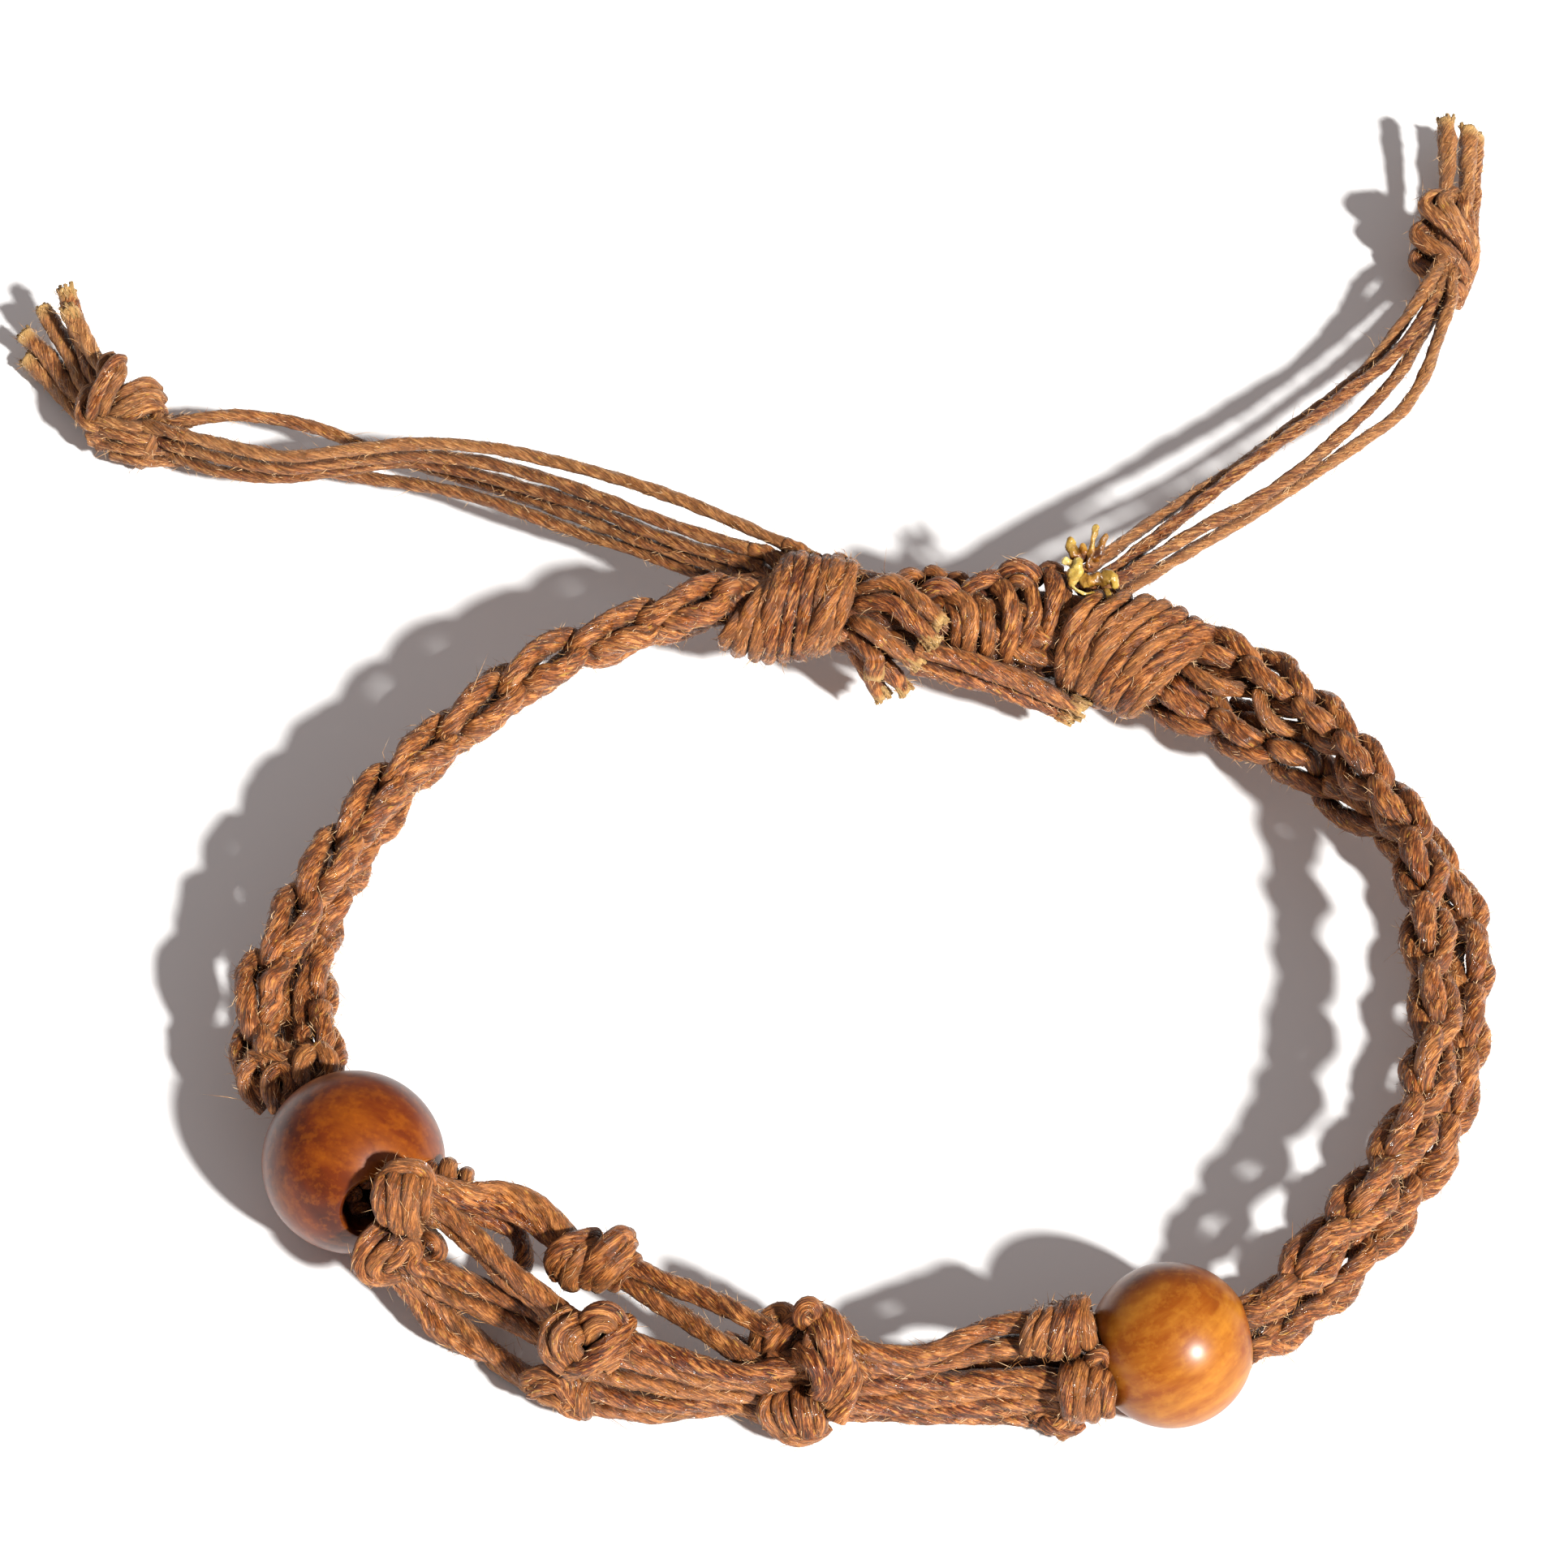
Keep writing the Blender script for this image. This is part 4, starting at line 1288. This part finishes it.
def strands_piece(side, routes):
    yarn = Yarn()
    for points in routes:
        line = longer(smooth(points, NET_STEP), NET_REACH, NET_REACH)
        yarn.add(line, NET_D, step=NET_STEP, pitch=NET_PITCH)
    return finish_yarn(yarn, "net_cords_" + side, "net_strands_" + side)


for index in range(1, 12):
    finish_yarn(seen_yarn(f"net_knot_{index}"), f"net_turns_{index}", f"net_knot_{index}")
strands_piece("left", NET_LEFT)
strands_piece("middle", NET_MIDDLE)
strands_piece("right", NET_RIGHT)

# Beads

# Centre, azimuth and elevation of the hole, diameter, length, diameter of the hole, material
BEADS = {
    "left": (np.array([-31.5, -14, 5.65]), -70, 20, 11.3, 10.4, 4.2, BEAD_LEFT),
    "right": (np.array([18.3, -27, 5.0]), 14, 0, 10.0, 9.0, 4.0, BEAD_RIGHT),
}
BEAD_SIDES = 96
BEAD_ROWS = 56
EDGE_SHARE = 0.985
# How far the rim lies inside the sharp edge, across and along
RIM_IN = (0.12, 0.03)
# The straight part of the hole: how deep it starts, and its rows
BORE_DEPTH = 1.0
BORE_ROWS = 6
# The rounded mouth of the hole: wider than it, deeper than the bead's end
MOUTH = ((0.22, 0.06), (0.07, 0.2), (0, 0.5))
BUNDLE_COUNT = 5
BUNDLE_R = 1.08
BUNDLE_D = 1.2
BUNDLE_INSIDE = 1.3
BUNDLE_TURN = 0.4
BUNDLE_TWIST = 0.7
BUNDLE_STEP = 0.25


def bead_profile(d, length, bore):
    """Points of a bead's section, as distance from its axis and along it, with rounded mouths."""
    r, half, hole = d / 2, length / 2, bore / 2
    rim = math.sqrt(r * r - half * half)
    edge = math.asin(half / r) * EDGE_SHARE
    outside = [(r * math.cos(a), r * math.sin(a)) for a in np.linspace(-edge, edge, BEAD_ROWS)]
    lip = [(rim - RIM_IN[0], half - RIM_IN[1])]
    lip += [(hole + wider, half - deeper) for wider, deeper in MOUTH]
    inside = [(hole, z) for z in np.linspace(half - BORE_DEPTH, BORE_DEPTH - half, BORE_ROWS)]
    return outside + lip + inside + [(x, -z) for x, z in reversed(lip)]


def bead_piece(side):
    """The bead turned about its hole."""
    centre, azimuth, elevation, d, length, bore, material = BEADS[side]
    az, el = math.radians(azimuth), math.radians(elevation)
    a, b, c = basis((math.cos(az) * math.cos(el), math.sin(az) * math.cos(el), math.sin(el)))
    profile = bead_profile(d, length, bore)
    verts = []
    for k in range(BEAD_SIDES):
        radial = toward(FULL_TURN * k / BEAD_SIDES, a, b)
        verts.extend([centre + x * radial + z * c for x, z in profile])
    n = len(profile)
    faces = []
    for k in range(BEAD_SIDES):
        here, after = k * n, (k + 1) % BEAD_SIDES * n
        faces.extend([[here + i, after + i, after + (i + 1) % n, here + (i + 1) % n] for i in range(n)])
    dress(mesh_object(f"bead_{side}_turned", np.array(verts), faces, material), "bead_wood", "bead_" + side)
    bundle_piece(side, centre, length / 2 - BUNDLE_INSIDE, a, b, c)


def bundle_piece(side, centre, reach, a, b, c):
    """The strands in the hole of a bead."""
    yarn = Yarn()
    for k in range(BUNDLE_COUNT):
        angle = FULL_TURN * k / BUNDLE_COUNT + BUNDLE_TURN
        off, off_end = BUNDLE_R * toward(angle, a, b), BUNDLE_R * toward(angle + BUNDLE_TWIST, a, b)
        points = [centre - reach * c + off, centre + (off + off_end) / 2, centre + reach * c + off_end]
        yarn.add(smooth(points, 0.3), BUNDLE_D, step=BUNDLE_STEP)
    finish_yarn(yarn, f"bead_{side}_bundle", f"strands_in_{side}_bead", hairs=0.0)


for side in BEADS:
    bead_piece(side)

# Hairs

HAIR_R = 0.025
HAIR_MIDDLE_R = 0.75 * HAIR_R
LOWEST = 0.03
# Lengths of hairs. A group: share of all hairs up to its end, least, and how much more it may be.
HAIR_LENGTHS = ((0.88, 0.22, 0.45), (0.99, 0.6, 0.5), (1.0, 1.2, 0.9))
# Lean along the cord and rise from it. A pair: least, and how much more it may be.
HAIR_LEAN = (0.3, 1.0)
HAIR_RISE = (0.45, 0.5)
# Random bend of a hair, the shares of it at the middle and at the tip, and the place of the root in radii
HAIR_BEND = 0.5
BEND_MIDDLE = 0.12
BEND_TIP = 0.6
HAIR_ROOT = 0.9
# Number of hairs in each piece, and words in the names of the pieces that carry them
HAIRS = {
    "chain_hairs": (13000, ["stitches"]),
    "band_hairs": (11200, ["net", "turns", "knots", "cut"]),
    "tail_hairs": (5300, ["tail", "end", "frayed"]),
}


def hair_lengths(count):
    """Mostly short fuzz, a few longer loose fibres."""
    pick = rng.random(count)
    lengths = [between(least, more, count) for _, least, more in HAIR_LENGTHS]
    return np.select([pick < share for share, _, _ in HAIR_LENGTHS], lengths)


def hairs_of(line, ahead, side, above, radius, count):
    """Roots, middles and tips of hairs on one cord, and two axes across each."""
    at = rng.integers(1, len(line) - 1, count)
    out = turned(FULL_TURN * rng.random(count), side[at], above[at])
    long = hair_lengths(count)[:, None]
    lean = ahead[at] * rng.choice([-1.0, 1.0], (count, 1)) * between(*HAIR_LEAN, (count, 1))
    away = out * between(*HAIR_RISE, (count, 1)) + lean
    bend = rng.normal(0, HAIR_BEND, (count, 3))
    root = line[at] + out * radius[at][:, None] * HAIR_ROOT
    middle = root + away * long * 0.5 + bend * long * BEND_MIDDLE
    tip = root + away * long + bend * long * BEND_TIP
    return root, middle, tip, out, np.cross(ahead[at], out)


def fuzz_piece(name, yarns, count):
    """Fine hairs that stand out of the cords, gathered into one mesh. Each is a tapered three sided spike."""
    weights = [run_of(line)[-1] * share for yarn, share in yarns for line, *_ in yarn.lines]
    lines = [one for yarn, _ in yarns for one in yarn.lines]
    parts = np.array(weights) * count / sum(weights)
    sets = [hairs_of(*one, int(round(part))) for one, part in zip(lines, parts) if part >= 1]
    root, middle, tip, out, side = (np.concatenate([one[k] for one in sets]) for k in range(5))
    rows = []
    for centre, radius in ((root, HAIR_R), (middle, HAIR_MIDDLE_R)):
        rows.extend([centre + radius * toward(FULL_TURN * k / 3, out, side) for k in range(3)])
    rows.append(tip)
    verts = np.stack(rows, 1).reshape(-1, 3)
    verts[:, 2] = np.maximum(verts[:, 2], LOWEST)
    base = len(rows) * np.arange(len(root))[:, None]
    quads = np.concatenate([base + np.array([k, (k + 1) % 3, 3 + (k + 1) % 3, 3 + k]) for k in range(3)])
    ends = np.concatenate([base + np.array([3 + k, 3 + (k + 1) % 3, 6]) for k in range(3)])
    obj = mesh_object(name, verts, quads.tolist() + ends.tolist(), FUZZ)
    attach(obj, "root")


for name, (count, words) in HAIRS.items():
    carriers = [row for row in FUZZY if row[2] and any(word in row[0] for word in words)]
    fuzz_piece(name, [(yarn, share) for _, yarn, share in carriers], count)

# Stage

FLOOR_REACH = 3.0
SUN_POWER = 7.6
SUN_ANGLE = 4.5
SUN_TRAVEL = (-0.88, 0.98, -1.0)
SUN_COLOUR = (1.0, 0.985, 0.96)
SKY_POWER = 0.31
SKY_COLOUR = (1.0, 0.9, 0.89)


def make_floor():
    mesh = bpy.data.meshes.new("floor")
    corners = [(FLOOR_REACH * x, FLOOR_REACH * y, 0) for x, y in ((-1, -1), (1, -1), (1, 1), (-1, 1))]
    mesh.from_pydata(corners, [], [(0, 1, 2, 3)])
    floor = bpy.data.objects.new("floor", mesh)
    bpy.context.scene.collection.objects.link(floor)
    paper = {"Base Color": (0.9, 0.9, 0.9, 1), "Roughness": 0.9, "Specular IOR Level": 0.1}
    mesh.materials.append(new_material("paper", paper)[0])


def make_light():
    sun = bpy.data.lights.new("sun", "SUN")
    sun.energy = SUN_POWER
    sun.angle = math.radians(SUN_ANGLE)
    sun.color = SUN_COLOUR
    lamp = bpy.data.objects.new("sun", sun)
    lamp.rotation_euler = Vector(SUN_TRAVEL).to_track_quat("-Z", "Y").to_euler()
    bpy.context.scene.collection.objects.link(lamp)
    world = bpy.data.worlds.new("world")
    world.use_nodes = True
    background = world.node_tree.nodes["Background"]
    background.inputs["Color"].default_value = (*SKY_COLOUR, 1)
    background.inputs["Strength"].default_value = SKY_POWER
    bpy.context.scene.world = world
    bpy.context.scene.view_settings.view_transform = "Standard"


make_floor()
make_light()
